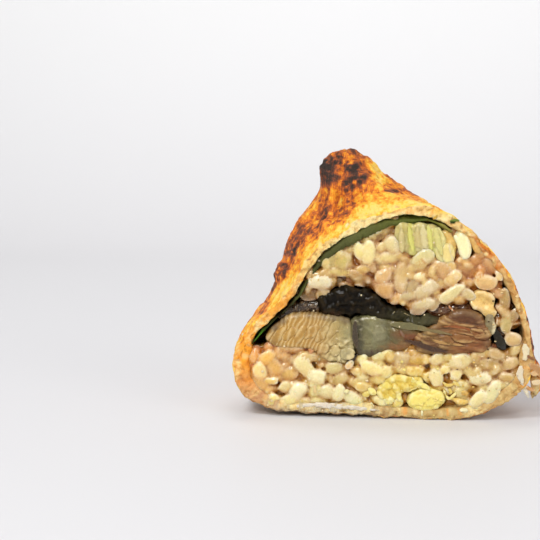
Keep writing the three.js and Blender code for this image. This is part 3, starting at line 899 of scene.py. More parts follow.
def dented(rng, points, broad, fine):
    """The points with broad and fine dents, each given as their spacing and depth."""
    dents = noise_at(points / broad[0] + rng.uniform(0, 50, 3), 3) * broad[1]
    dents += noise_at(points / fine[0] + rng.uniform(0, 50, 3), 5) * fine[1]
    return points * (1 + dents / 1.8)[:, None]


def grain_shape(rng, settings):
    """One cooked grain round the origin: plump, a little bent, some with a broken end."""
    size = np.array([settings.grain_length, settings.grain_width, settings.grain_thickness]) / 2
    size = size * rng.uniform(0.86, 1.1, 3)
    unit = GRAIN_POINTS
    points = np.sign(unit) * np.abs(unit) ** np.array([0.88, 1.0, 1.0]) * size
    points[:, 1] *= 1 + 0.12 * rng.uniform(-1, 1) * unit[:, 0]
    points[:, 2] += rng.uniform(0.0, 0.5) * (unit[:, 0] * unit[:, 0] - 0.4)
    if rng.random() < 0.22:
        cut = rng.uniform(0.1, 0.6) * size[0]
        points[:, 0] = np.minimum(points[:, 0], cut + 0.3 * points[:, 1] / size[1])
    return dented(rng, points, (1.6, 0.16), (0.8, 0.06))


def set_grain(rng, x, z, behind, long, wide, turn, code):
    """A grain that shows at the cut: its points, and tints with painted light at its rim and on top
    and painted shade underneath.
    """
    thick = wide * rng.uniform(0.85, 1.0)
    size = np.array((long / 2, thick / 2, wide / 2)) * 1.03
    unit = SHOWN_POINTS
    points = np.sign(unit) * np.abs(unit) ** np.array([0.8, 0.92, 0.85]) * size
    normals = unit / size
    for _ in range(rng.integers(1, 5)):
        way = rng.uniform(-1, 1, 3) * (0.7, 0.8, 1)
        way /= np.linalg.norm(way)
        over = points @ way - rng.uniform(0.68, 0.92) * np.abs(points @ way).max()
        points -= np.maximum(over, 0)[:, None] * way * 0.95
    points = dented(rng, points, (2.4, 0.14), (1.0, 0.05))
    tilt = Matrix.Rotation(rng.uniform(-0.25, 0.25), 3, "Z")
    pose = Matrix.Rotation(math.radians(-turn), 3, "Y") @ tilt
    points = points @ np.array(pose).T + (x, CUT - 0.6 + thick / 2 + behind, z)
    proud = np.maximum(CUT + 0.5 + behind - points[:, 1], 0)
    points[:, 1] += 0.6 * proud
    normals = normals @ np.array(pose).T
    normals /= np.linalg.norm(normals, axis=1, keepdims=True)
    tints = plain(points, code) * rng.uniform(0.96, 1.06)
    tints = tints * (0.98, 0.99, 0.74)
    # Painted light: paler towards the rim, where the grain turns away from the cut, and on top.
    tints = shaded(tints, -normals[:, 1], (0.3, 0.8, 0.3, "#fff0cc"))
    tints = shaded(tints, normals[:, 2], (0.25, 0.2, 0.9, "#fffaf0"))
    cloud = noise_at(points / 1.6 + rng.uniform(0, 50, 3), 9)
    tints = shaded(tints, cloud, (0.3, 0.1, 0.8, "#fff4e0"))
    # Painted shade on the grain's underside.
    return points, deepened(tints, 0.45 * smooth_step(0.1, -0.95, normals[:, 2]), "#dfa962")


def turned(rng, lean):
    """A random turn whose long axis stays near the cut by lean, 0 to 1."""
    heading = rng.uniform(0, math.tau)
    pitch = math.asin(rng.uniform(-1, 1)) * (1 - lean)
    level = math.cos(pitch)
    axis = Vector((math.cos(heading) * level, math.sin(pitch), math.sin(heading) * level))
    base = axis.to_track_quat("X", "Z").to_matrix()
    return np.array(base @ Matrix.Rotation(rng.uniform(0, math.tau), 3, "X"))


def rice_shade(points, stains, rng, base):
    """The grain's own shade, tinted by the stains near it."""
    shade = np.array(linear(base[int(rng.integers(len(base)))]))
    shade = shade * rng.uniform(0.9, 1.08) * (1.0, 1.0, 0.72)
    centre = points.mean(axis=0)
    for x, z, size, strength, code in stains:
        gap = math.hypot(centre[0] - x, centre[2] - z) / size
        share = strength * math.exp(-gap * gap) * rng.uniform(0.6, 1.15)
        shade = shade + (np.array(linear(code)) - shade) * min(share, 1)
    return shade


def grain_fits(points, room, others):
    """Whether a grain stays in its layer, give or take, and out of its neighbours."""
    for x, y, z in points:
        if depth_in(room, (x, max(y, CUT + PROBE_DEPTH), z)) < -0.5:
            return False
        if depth_in(others, (x, y, z)) > 0.2:
            return False
    return True


def clear_spots(rng, low, high, near, far, room, centres):
    """Spots of the layer that lie well away from the grains so far, the clearest first."""
    spots = []
    while len(spots) < SPOTS_SEEN:
        x, y = rng.uniform(low.x, high.x), CUT + rng.uniform(near, far)
        z = rng.uniform(low.z, high.z)
        if depth_in(room, (x, CUT + PROBE_DEPTH, z)) > 0.7:
            spots.append(np.array([x, y, z]))
    clear = [np.linalg.norm((centres - spot) * (1, 0.9, 1), axis=1).min() for spot in spots]
    return [spots[i] for i in np.argsort(clear)[::-1][:SPOTS_USED]]


def packed_grain(rng, spots, room, others, settings):
    """The first grain that fits, and its spot; two times None if none does."""
    for spot in spots:
        for _ in range(TURNS_TRIED):
            points = grain_shape(rng, settings) @ turned(rng, 0.35).T + spot
            points[:, 1] = np.maximum(points[:, 1], CUT + 0.6)
            if grain_fits(points[::9], room, others):
                return points, spot
    return None, None


def rice_grains(node, count, settings):
    """The grains that show at the cut, and others packed in behind them, stuck together."""
    shown, stains, base, gap, _, seed = RICE_LAYERS[node]
    rng = np.random.default_rng(seed)
    room = search_tree(node)
    others = search_tree(*(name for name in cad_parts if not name.startswith("rice")))
    low, high = (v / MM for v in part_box(node))
    parts = []
    for grain in shown:
        points, tints = set_grain(rng, *grain)
        parts.append((points, SHOWN_FACES, tints))
    centres = np.array([points.mean(axis=0) for points, _, _ in parts])
    made = failures = 0
    while made < count and failures < MOST_FAILURES:
        near, far = next(depths for share, *depths in GRAIN_DEPTHS if made / count < share)
        spots = clear_spots(rng, low, high, near, far, room, centres)
        points, spot = packed_grain(rng, spots, room, others, settings)
        if points is None:
            failures += 1
            continue
        made += 1
        centres = np.vstack([centres, spot])
        parts.append((points, GRAIN_FACES, rice_shade(points, stains, rng, base)))
    mesh, tints = fused(node, parts, settings.fineness, 1)
    # Painted shade: darker in the gap colour deeper behind the cut and in broad hollows, then
    # painted shade in the fine hollows and painted highlights on the crests.
    tints = deepened(tints, 0.9 * behind_cut(points_of(mesh), 0.4, 2.2), gap)
    tints = deepened(tints, 0.7 * smooth_step(0.0, 0.5, hollows(mesh, 14)), gap)
    return painted_shade_and_highlights(mesh, tints, gap, 0.2, 0.5, 0.55, "#fff8e6")


def rice_core(node):
    """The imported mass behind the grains, lumpy where grains press on it."""
    mesh, points = node_mesh(node, 1.1, 3)
    lumps = np.abs(noise_at(points / 2.6, 7)) * 1.2
    moved = points - normals_of(mesh) * (0.5 + lumps)[:, None]
    moved[:, 1] = np.maximum(moved[:, 1], CUT + 3.4)
    move_points(mesh, moved)
    # Painted shade: the core is far darker than the grains, as the shade seen in the gaps.
    paint(mesh, "tint", plain(points, RICE_LAYERS[node][4]))
    return mesh


# Grains that show at the cut: x, z, depth behind it, length, width, turn in degrees, colour.
UPPER_GRAINS = (
    (-19.2, 38.4, 0.2, 6.5, 3.7, -3, "#dcd0c4"),
    (-12.8, 44.7, 0.6, 5.8, 5.4, 60, "#c9b678"),
    (-15.8, 44.7, 1.0, 4.3, 2.0, 95, "#cdbd8d"),
    (-13.4, 41.2, 0.9, 5.6, 2.5, -5, "#d6c184"),
    (-8.2, 47.3, 0.3, 5.2, 2.5, 98, "#eddba6"),
    (-5.5, 47.0, 0.2, 6.5, 3.2, 85, "#f0dfb2"),
    (-12.4, 47.9, 1.5, 4.3, 2.0, 20, "#dcc88e"),
    (-0.9, 51.8, 1.6, 6.5, 2.0, 22, "#bfae72"),
    (-1.4, 48.6, 0.9, 3.9, 2.8, 30, "#e4d0a0"),
    (1.2, 49.0, 0.5, 5.6, 4.7, -50, "#dccaa6"),
    (0.1, 45.5, 0.8, 4.7, 3.2, 0, "#e2cfa2"),
    (-3.8, 45.5, 0.9, 3.7, 2.9, 60, "#e2c68c"),
    (-5.3, 38.4, 1.8, 2.6, 2.0, 30, "#b79f64"),
    (-7.2, 42.1, 1.0, 3.7, 2.5, 10, "#e6c888"),
    (-1.4, 40.4, 0.4, 5.2, 3.9, 60, "#dcb285"),
    (-0.7, 36.5, 0.5, 5.6, 5.0, -30, "#cda06d"),
    (3.6, 40.4, 0.5, 8.6, 3.7, 86, "#d3b389"),
    (1.2, 43.6, 1.5, 3.9, 2.5, 0, "#caa066"),
    (-18.4, 42.7, 2.6, 5.6, 4.1, 50, "#8d8d6d"),
    (-21.6, 34.5, 1.6, 5.6, 3.0, 10, "#8c7c4a"),
    (-18.0, 34.8, 0.9, 4.1, 3.6, 40, "#b29452"),
    (-14.3, 38.6, 2.2, 3.7, 2.8, -20, "#8f8c6b"),
    (-11.6, 37.0, 1.9, 4.1, 2.6, -20, "#aaa277"),
    (-13.9, 35.2, 1.7, 3.7, 2.0, 45, "#9a9876"),
    (9.5, 45.5, 0.2, 6.8, 4.4, 38, "#d8caa2"),
    (6.7, 42.7, 0.9, 3.7, 2.5, 50, "#dcc090"),
    (14.7, 42.4, 0.4, 5.8, 4.9, -40, "#d0a577"),
    (18.0, 40.1, 0.2, 5.1, 3.4, 35, "#ddbc88"),
    (20.1, 43.1, 1.2, 5.4, 4.4, -35, "#d6ae82"),
    (26.8, 38.9, 0.3, 6.4, 4.2, -8, "#e0b98a"),
    (24.3, 44.5, 1.4, 4.4, 3.4, -50, "#e3b47c"),
    (28.7, 43.6, 1.2, 5.4, 3.5, -45, "#e2b485"),
    (27.3, 42.1, 1.6, 4.0, 2.3, 0, "#d9a770"),
    (30.6, 40.8, 0.6, 3.3, 2.0, -70, "#ecc394"),
    (8.6, 40.1, 0.4, 2.3, 2.0, 0, "#efd8a8"),
    (10.7, 36.8, 0.4, 7.7, 3.6, 35, "#cfbba0"),
    (14.0, 38.2, 1.0, 6.5, 2.9, 25, "#d8bd8f"),
    (17.7, 35.6, 0.2, 7.7, 3.5, 33, "#dccdaa"),
    (7.0, 37.8, 1.0, 5.6, 3.5, 50, "#c9b392"),
    (6.7, 35.2, 0.8, 6.1, 2.7, 15, "#c8b596"),
    (10.0, 32.4, 0.5, 6.1, 3.0, 20, "#cdbba2"),
    (8.6, 30.7, 0.9, 5.1, 2.6, 10, "#bfa794"),
    (12.8, 32.4, 1.0, 3.7, 2.5, 60, "#cbb797"),
    (22.4, 35.4, 0.7, 4.2, 2.9, -30, "#cdb88e"),
    (32.3, 34.0, 1.0, 7.0, 3.0, 88, "#c3a877"),
    (32.9, 27.9, 0.9, 6.5, 3.4, 80, "#cdbb8b"),
    (35.0, 29.8, 1.1, 4.2, 2.7, 60, "#bfa57a"),
    (34.8, 23.0, 0.6, 4.7, 4.0, -20, "#d6b78e"),
    (25.7, 47.6, 1.3, 4.9, 3.6, 80, "#e8bd80"),
    (18.0, 51.3, 1.8, 5.8, 4.2, 70, "#e2c079"),
    (23.6, 41.3, 1.6, 4.0, 2.6, 70, "#d9a868"),
)
LOWER_GRAINS = (
    (-36.2, 13.2, 0.2, 5.5, 3.7, -70, "#f0cf9c"),
    (-34.2, 16.6, 0.5, 4.9, 3.6, 50, "#e9b765"),
    (-31.9, 14.1, 0.7, 5.7, 4.3, -60, "#e2b26f"),
    (-27.3, 12.3, 0.9, 4.9, 3.7, 30, "#e4bd78"),
    (-32.4, 10.0, 0.4, 4.0, 1.9, 0, "#e3bd70"),
    (-35.9, 9.5, 0.6, 5.2, 3.3, -50, "#dcab6f"),
    (-29.0, 8.3, 0.8, 4.5, 3.3, 15, "#ead7ac"),
    (-25.1, 7.2, 0.2, 5.5, 4.6, 60, "#efe5d2"),
    (-23.2, 14.1, 0.4, 7.2, 4.3, -45, "#e7d7b2"),
    (-19.8, 11.5, 0.2, 5.5, 4.2, -10, "#f1e7cc"),
    (-17.2, 7.4, 0.7, 5.7, 4.3, -10, "#e3dabf"),
    (-14.9, 14.1, 0.9, 4.9, 3.6, 10, "#dbd0a6"),
    (-13.2, 10.9, 1.1, 4.9, 3.3, 30, "#d9ca96"),
    (-13.5, 6.9, 0.5, 4.9, 3.2, 70, "#e6dfc6"),
    (-9.5, 5.1, 0.6, 6.3, 4.0, -40, "#e0dcba"),
    (-8.0, 10.0, 1.0, 4.3, 3.7, 0, "#e2cf98"),
    (-4.3, 14.1, 0.2, 7.5, 3.6, -25, "#efdca8"),
    (-10.6, 15.2, 0.4, 3.2, 2.0, 50, "#e0b06a"),
    (-27.8, 4.6, 0.5, 4.9, 3.2, 20, "#ecdcae"),
    (-32.4, 4.6, 0.3, 4.0, 3.2, 50, "#f2d28f"),
    (-24.1, 4.0, 0.9, 5.2, 2.6, 5, "#e2cfa6"),
    (-29.0, 19.8, 0.8, 3.3, 2.4, 0, "#d9ab73"),
    (-25.5, 16.1, 1.2, 4.3, 3.0, 30, "#dcc093"),
    (-18.6, 16.9, 1.5, 7.2, 3.2, -10, "#d2b880"),
    (3.8, 16.9, 0.5, 5.5, 4.6, 60, "#cbb08a"),
    (8.9, 16.6, 1.0, 6.3, 3.0, 0, "#d9b558"),
    (14.1, 17.2, 0.4, 4.7, 3.7, 40, "#e2cb9c"),
    (20.2, 16.6, 0.2, 6.3, 4.7, 20, "#dfcca4"),
    (27.3, 19.2, 0.8, 5.3, 3.0, 10, "#cfae72"),
    (28.2, 15.8, 0.9, 5.3, 3.3, 0, "#c9ae7a"),
    (34.0, 16.1, 0.8, 5.0, 3.6, 40, "#cdb07e"),
    (13.8, 11.8, 0.2, 5.7, 3.7, -75, "#e6d5b0"),
    (19.0, 12.6, 0.4, 4.2, 3.3, 60, "#e6d2a0"),
    (25.9, 11.8, 0.2, 6.3, 3.4, 12, "#e5d9bf"),
    (33.4, 12.3, 0.7, 4.7, 2.4, 0, "#c6a66a"),
    (25.3, 5.7, 0.2, 6.0, 3.6, 55, "#ede0bd"),
    (29.4, 8.0, 0.3, 7.5, 3.7, 65, "#eae0c2"),
    (32.5, 10.0, 0.9, 3.7, 2.4, 20, "#dcc899"),
    (16.1, 14.1, 0.4, 2.4, 2.2, 0, "#e8cf8e"),
)
# Stains on the grains behind them: x, z, reach, strength, colour.
UPPER_STAINS = (
    (-28, 36, 9, 0.6, "#958a5c"),
    (0, 37, 9, 0.6, "#c79660"),
    (27, 46, 11, 0.85, "#d98f3c"),
    (33, 30, 9, 0.6, "#c09558"),
    (20, 52, 9, 0.7, "#dcae5e"),
    (24, 32, 6, 0.6, "#cf9a50"),
    (-7, 40, 5, 0.8, "#8f5f22"),
)
LOWER_STAINS = (
    (-39, 17, 7, 1.0, "#f28a1a"),
    (-33, 14, 8, 0.7, "#e6a550"),
    (-24, 20, 6, 0.6, "#bd7a48"),
    (8, 7, 10, 0.85, "#ecce52"),
    (9, 18, 6, 0.7, "#d9a838"),
    (30, 18, 9, 0.8, "#b98d4e"),
    (34, 6, 8, 0.4, "#d8c38a"),
)
UPPER_BASE = ("#e0cb98", "#dcc28a", "#d6b986", "#cfa974", "#e3d0a4")
LOWER_BASE = ("#e6d9b2", "#e0d0a2", "#dcc48c", "#ebdfc0", "#d6b980")
# The layers: grains that show, stains, base colours, colour of the gaps and of the core (both
# painted shade, darker than the grains), and seed.
RICE_LAYERS = {
    "rice_upper": (UPPER_GRAINS, UPPER_STAINS, UPPER_BASE, "#b87e24", "#8a5a14", 11),
    "rice_lower": (LOWER_GRAINS, LOWER_STAINS, LOWER_BASE, "#c4954a", "#a0702c", 12),
}


# Fillings


def fibres_at(points, turn, length, width, seed):
    """Noise drawn out into strands that run at this turn across the cut."""
    long, wide = slanted(points[:, 0], points[:, 2], turn)
    bend = noise_at(points / 4.0, seed) * 0.9
    drawn = np.column_stack([long / length, wide / width + bend, points[:, 1] / 2])
    return rough_noise(drawn, 3, seed + 1)


def bands_at(points, turn, spacing, seed):
    """-1 to 1 across wavering bands that run at this turn on the cut."""
    wide = slanted(points[:, 0], points[:, 2], turn)[1] / spacing
    return np.sin(math.tau * (wide + 0.5 * rough_noise(points / 3.0, 2, seed)))


def fillet_tints(points):
    """The fillet's colours, which run on through its three pieces from left to right."""
    tints = graded(
        points[:, 0] + 1.2 * rough_noise(points / 3.0, 2, 60),
        (-35, "#80602a"),
        (-29, "#bb9144"),
        (-20, "#b48c48"),
        (-14, "#b09c64"),
        (-10.8, "#969064"),
        # Painted shade in the fold between the thick end and the middle, then a painted highlight
        # at -4.5.
        (-9.0, "#2f2814"),
        (-7.6, "#5a583a"),
        (-4.5, "#84825c"),
        (0, "#5a5634"),
        (6, "#64562c"),
        (12, "#7c5c2c"),
        (18, "#87592a"),
        (25, "#7c4618"),
        (30, "#45240e"),
    )
    return dab(
        tints, points[:, (0, 2)],
        (-27, 18.4, 8, 1.4, 5, 0.6, "#b0703e"),
        (-3.5, 18.0, 9, 2.0, 0, 0.95, "#2a1a14"),
        # A painted highlight on the middle, and painted shade in the fold at its left.
        (-2.6, 24.6, 2.6, 2.8, 0, 0.3, "#a0a084"),
        (-7.6, 24.0, 0.9, 5.0, 4, 0.7, "#34321f"),
        (5.5, 20.8, 7, 1.6, 5, 0.7, "#8a5424"),
        (7.0, 23.2, 4.5, 1.5, -14, 0.85, "#74360f"),
        (12.5, 21.8, 4.0, 1.2, -10, 0.8, "#54260c"),
        (1, 28.8, 9, 0.9, -6, 0.5, "#4a462c"),
        (11, 19.8, 6, 1.4, 5, 0.6, "#3e200c"),
        (21, 30.2, 10, 2.6, -8, 0.95, "#4c240a"),
        (23, 19.8, 8, 1.0, 8, 0.7, "#84401a"),
    )


def thick_flesh():
    """The thick end of the fillet, with steep pale flakes, a glazed top and crumbs below."""
    mesh, points = node_mesh("eel_flesh_thick", 0.3, 6)
    flaked = smooth_step(-13, -18, points[:, 0])
    strokes = bands_at(points, 62, 1.1, 61) * (0.25 + 0.75 * flaked)
    crumbs = smooth_step(1.3, 0.5, oval(points[:, (0, 2)], -12.8, 19.0, 5.5, 3.8, 0))
    grit = rough_noise(points / 0.9, 3, 63)
    lift = 1.0 + (strokes * 0.07 + grit * 0.06) * (1 - crumbs)
    raised(mesh, lift + crumbs * grit * 0.8 + noise_at(points / 3, 64) * 0.3)
    tints = fillet_tints(points)
    tints = blend(tints, 0.4 * smooth_step(0.1, 0.95, strokes) * (1 - crumbs), "#efdcaa")
    tints = blend(tints, 0.2 * smooth_step(-0.2, -0.9, strokes) * (1 - crumbs), "#80581f")
    tints = blend(tints, crumbs * (0.35 + 0.6 * smooth_step(0.0, 0.7, grit)), "#e4d6a2")
    top = np.interp(points[:, 0], (-32, -27, -20, -12, -9), (25, 30.2, 30, 28.4, 28))
    below = top - points[:, 2] + 0.5 * rough_noise(points / 1.5, 2, 62)
    tints = shaded(tints, below, (0.9, 2.4, 0.2, "#3f240c"))
    # Painted shade in the hollows and painted highlights on the crests.
    return painted_shade_and_highlights(mesh, tints, "#8a5c1c", 0.3, 0.2, 0.15, "#fff0c4")


def middle_flesh():
    """The smooth grey middle of the fillet, clear enough to look wet, over a dark lower edge."""
    mesh, points = node_mesh("eel_flesh_middle", 0.33, 16)
    folds = noise_at(points * (0.3, 0.2, 0.12), 65)
    streaks = fibres_at(points, -12, 5.0, 0.8, 67)
    raised(mesh, 1.3 + folds * 0.7 + streaks * 0.1)
    lines = (0.3, 0.1, 0.9, "#a8a47c"), (0.3, -0.1, -0.9, "#443a20")
    paint(mesh, "tint", shaded(fillet_tints(points), streaks, *lines))
    return mesh


def tail_flesh():
    """The tail of the fillet: tan lobes in layers that run down to the right, stained by sauce."""
    mesh, points = node_mesh("eel_tail", 0.3, 1)
    layers = fibres_at(points, -8, 6.0, 0.62, 68)
    raised(mesh, 1.1 + layers * 0.4)
    lines = (0.5, 0.2, 0.9, "#dbb87c"), (0.5, -0.1, -0.8, "#5e3214")
    tints = shaded(fillet_tints(points), layers, *lines)
    # Painted shade in the hollows and painted highlights on the crests.
    return painted_shade_and_highlights(mesh, tints, "#6a3412", 0.22, 0.7, 0.1, "#e8c890")


def folded_skin():
    """The eel's skin: a black glossy fold that turns grey-green to the right."""
    mesh, points = node_mesh("eel_skin", 0.4, 2)
    folds = ridges(points * (0.24, 0.12, 0.42), 71)
    rough = rough_noise(points / 1.4, 3, 72)
    raised(mesh, 0.4 + (folds - 0.4) * 1.2 + rough * 0.45)
    # A painted highlight: browner on the raised patches of the black skin.
    tints = shaded(plain(points, "#0c0703"), rough, (0.5, 0.2, 0.9, "#33240f"))
    tints = dab(
        tints, points[:, (0, 2)],
        (8.5, 28.2, 9, 2.4, -6, 0.95, "#3f3d28"),
        (12, 27.6, 5, 1.0, -6, 0.6, "#5c5a40"),
        (-5, 31, 5, 1.6, -15, 0.4, "#2e281b"),
        (-17, 29.4, 4, 1.2, 0, 0.7, "#3c2012"),
        (16, 27, 3, 2, 0, 0.7, "#4a2c1a"),
    )
    # Painted shade in the hollows and painted highlights on the crests.
    return painted_shade_and_highlights(mesh, tints, "#3a2c1c", 0.3, 0.8, 0.04, "#8a7a4c")


def leaf():
    """The thin leaf under the skin, dark green with a bright tip and paler veins."""
    mesh, points = node_mesh("green_leaf", 0.5, 1)
    places = points[:, (0, 2)]
    broad = smooth_step(1.3, 0.2, oval(places, -10, 52, 17, 14, 25))
    raised(mesh, -0.1 + 1.0 * broad + rough_noise(points / 2.2, 3, 75) * 0.25)
    tints = graded(
        points[:, 0] + 1.5 * noise_at(points / 2.5, 73),
        # Near black at the left end: painted shade.
        (-30, "#14180a"),
        (-22, "#3c3d22"),
        (-10, "#525430"),
        (2, "#545c26"),
        (9, "#4c5a1e"),
        (14, "#7d7c36"),
        (20, "#a39a58"),
    )
    tints = shaded(tints, ridges(points * 0.25, 74), (0.25, 0.75, 0.97, "#6c7c36"))
    tints = dab(
        tints, places,
        (-14, 50, 8, 3, 35, 0.25, "#4a5430"),
        (-36.5, 23.8, 2.6, 2.6, 0, 1.0, "#3f7a1c"),
        # Painted shade at the lower left.
        (-33, 27, 3.0, 2.0, 45, 0.8, "#27300f"),
    )
    tints = shaded(tints, fibres_at(points, 30, 5.0, 0.5, 76), (0.2, 0.2, 0.9, "#5f6c2c"))
    # Painted shade in the hollows and painted highlights on the crests.
    return painted_shade_and_highlights(mesh, tints, "#5a5a30", 0.3, 0.5, 0.06, "#8a9a50")


def egg_lump():
    """A pale yellow lump of scrambled egg, bumpy all over."""
    mesh, points = node_mesh("egg_lump", 0.28, 3)
    bumps = 1 - np.abs(noise_at(points / 1.5, 77)) * 1.6
    raised(mesh, 0.35 + bumps * 0.4 + rough_noise(points / 0.7, 2, 78) * 0.16)
    patches = noise_at(points / 2.2, 79)
    tints = shaded(plain(points, "#f4e37c"), patches, (1, 0.2, 0.8, "#fbf3b4"))
    # Painted shade in the hollows and painted highlights on the crests.
    return painted_shade_and_highlights(mesh, tints, "#d2a83c", 0.25, 0.8, 0.3, "#fffce0")


def egg_shreds():
    """Loose shreds of egg round the lump."""
    mesh, points = node_mesh("egg_shreds", 0.28, 2)
    shreds = rough_noise(points / 1.6, 3, 81)
    raised(mesh, 0.35 + shreds * 0.6)
    tints = shaded(plain(points, "#e2c658"), shreds, (0.8, 0.0, 0.8, "#f6e893"))
    # Painted shade in the hollows and painted highlights on the crests.
    return painted_shade_and_highlights(mesh, tints, "#d0a448", 0.25, 0.6, 0.25)


def pale_piece():
    """A cream yellow lump beside the tail of the fillet."""
    mesh, points = node_mesh("pale_piece", 0.28, 3)
    bands = np.sin(points[:, 2] * math.tau / 4.4 + points[:, 0] * 0.5)
    raised(mesh, bands * 0.4 + rough_noise(points / 1.1, 3, 83) * 0.22)
    patches = noise_at(points / 1.6, 84)
    tints = shaded(plain(points, "#e9c477"), patches, (1, 0.1, 0.9, "#f7e3a6"))
    tints = dab(tints, points[:, (0, 2)], (24.5, 30, 1.6, 2.0, 0, 0.7, "#d8c19a"))
    # Painted shade in the hollows and painted highlights on the crests.
    return painted_shade_and_highlights(mesh, tints, "#b07a34", 0.22, 0.8, 0.35)


STRIP_SHADES = ("#c0b06a", "#c4bb58", "#c2b26c", "#c4bd5e", "#d8ca82")


def vegetable(nodes, codes):
    """Crisp pale strips or a wedge, clear between their fibres."""
    parts = [node_part(node, code) for node, code in zip(nodes, codes)]
    mesh, tints = fused("vegetable", parts, 0.28, 2)
    points = points_of(mesh)
    fibres = noise_at(points * (1.2, 0.6, 0.14), 86)
    raised(mesh, 0.55 + fibres * 0.12 + rough_noise(points / 2.0, 2, 87) * 0.2)
    tints = shaded(tints, fibres, (0.25, 0.1, 0.8, "#f6edc0"), (0.2, -0.1, -0.8, "#a9a05a"))
    # Painted shade in the hollows and painted highlights on the crests.
    return painted_shade_and_highlights(mesh, tints, "#d2b870", 0.3, 0.45, 0.12, "#fffbe0")


def nori():
    """A strip of dried seaweed, black with a dull shine."""
    mesh, points = node_mesh("nori_strip", 0.3, 1)
    raised(mesh, rough_noise(points / 1.4, 3, 88) * 0.25)
    patches = noise_at(points / 1.5, 89)
    tints = shaded(plain(points, "#17150f"), patches, (0.6, 0.2, 0.8, "#2f3338"))
    # Painted shade in the hollows and painted highlights on the crests.
    return painted_shade_and_highlights(mesh, tints, "#3a2a1a", 0.25, 0.6, 0.1, "#6a7076")


# Loose strands at the cut: width, thickness, depth behind it, colour, and the x, z places along it.
EGG_FLAKES = (
    (1.1, 0.8, 0.3, "#f3dc7a", [(15.6, 8.9), (16.3, 7.2), (17.3, 5.7), (18.4, 6.9), (19.6, 8.3)]),
    (1.7, 0.9, 0.2, "#f6e382", [(6.5, 11.3), (8.4, 10.3), (10.7, 9.5), (12.1, 8.2)]),
    (0.5, 0.5, 0.2, "#f6e382", [(6.8, 12.2), (7.5, 11.0)]),
    (0.9, 0.7, 0.6, "#e9cd60", [(3.5, 8.2), (5.8, 7.9), (8.4, 9.0)]),
    (1.8, 1.4, 0.2, "#f4e58e", [(2.6, 8.9), (3.2, 6.9), (3.8, 4.6)]),
    (2.4, 1.7, 0.5, "#f5eca6", [(-1.4, 5.4), (2.0, 5.1)]),
    (2.6, 1.7, 0.8, "#ecd469", [(-1.4, 9.7), (1.8, 9.2)]),
    (1.9, 1.4, 0.5, "#d9a94c", [(20.4, 8.0), (22.7, 7.3)]),
    (1.6, 1.3, 0.4, "#e8c163", [(18.4, 5.9), (20.7, 5.1), (22.7, 5.3)]),
    (1.5, 1.1, 0.3, "#f6e9b4", [(20.3, 3.0), (22.6, 2.7)]),
    (1.0, 0.9, 0.2, "#f4edb9", [(9.8, 2.6), (9.9, 0.7)]),
    (1.2, 0.9, 0.6, "#dcb848", [(15.3, 10.9), (16.7, 9.6), (18.4, 10.0)]),
    (1.3, 1.0, 0.6, "#e4c768", [(18.4, 10.9), (20.4, 9.5)]),
    (2.0, 1.3, 0.3, "#f2e38c", [(-5.4, 8.7), (-3.1, 6.7)]),
    (1.3, 1.0, 0.3, "#f3eebc", [(-4.4, 4.6), (-4.1, 2.3)]),
    (2.4, 1.4, 0.5, "#ecd568", [(-1.7, 9.5), (1.1, 8.7)]),
    (2.7, 1.4, 0.7, "#f1e284", [(-1.1, 5.4), (1.1, 4.6)]),
    (1.2, 0.9, 0.5, "#e8dc9a", [(-12.3, 7.4), (-10.6, 7.8)]),
    (2.2, 1.4, 1.0, "#e9cf6a", [(-6.9, 7.4), (-4.9, 6.3)]),
    (2.4, 1.4, 1.2, "#e3c45a", [(-3.7, 10.9), (-0.8, 10.3)]),
    (2.6, 1.4, 1.4, "#dfbf55", [(3.5, 10.3), (5.8, 9.7)]),
    (2.3, 1.4, 1.3, "#e7ca62", [(16.7, 8.6), (18.4, 7.4)]),
)
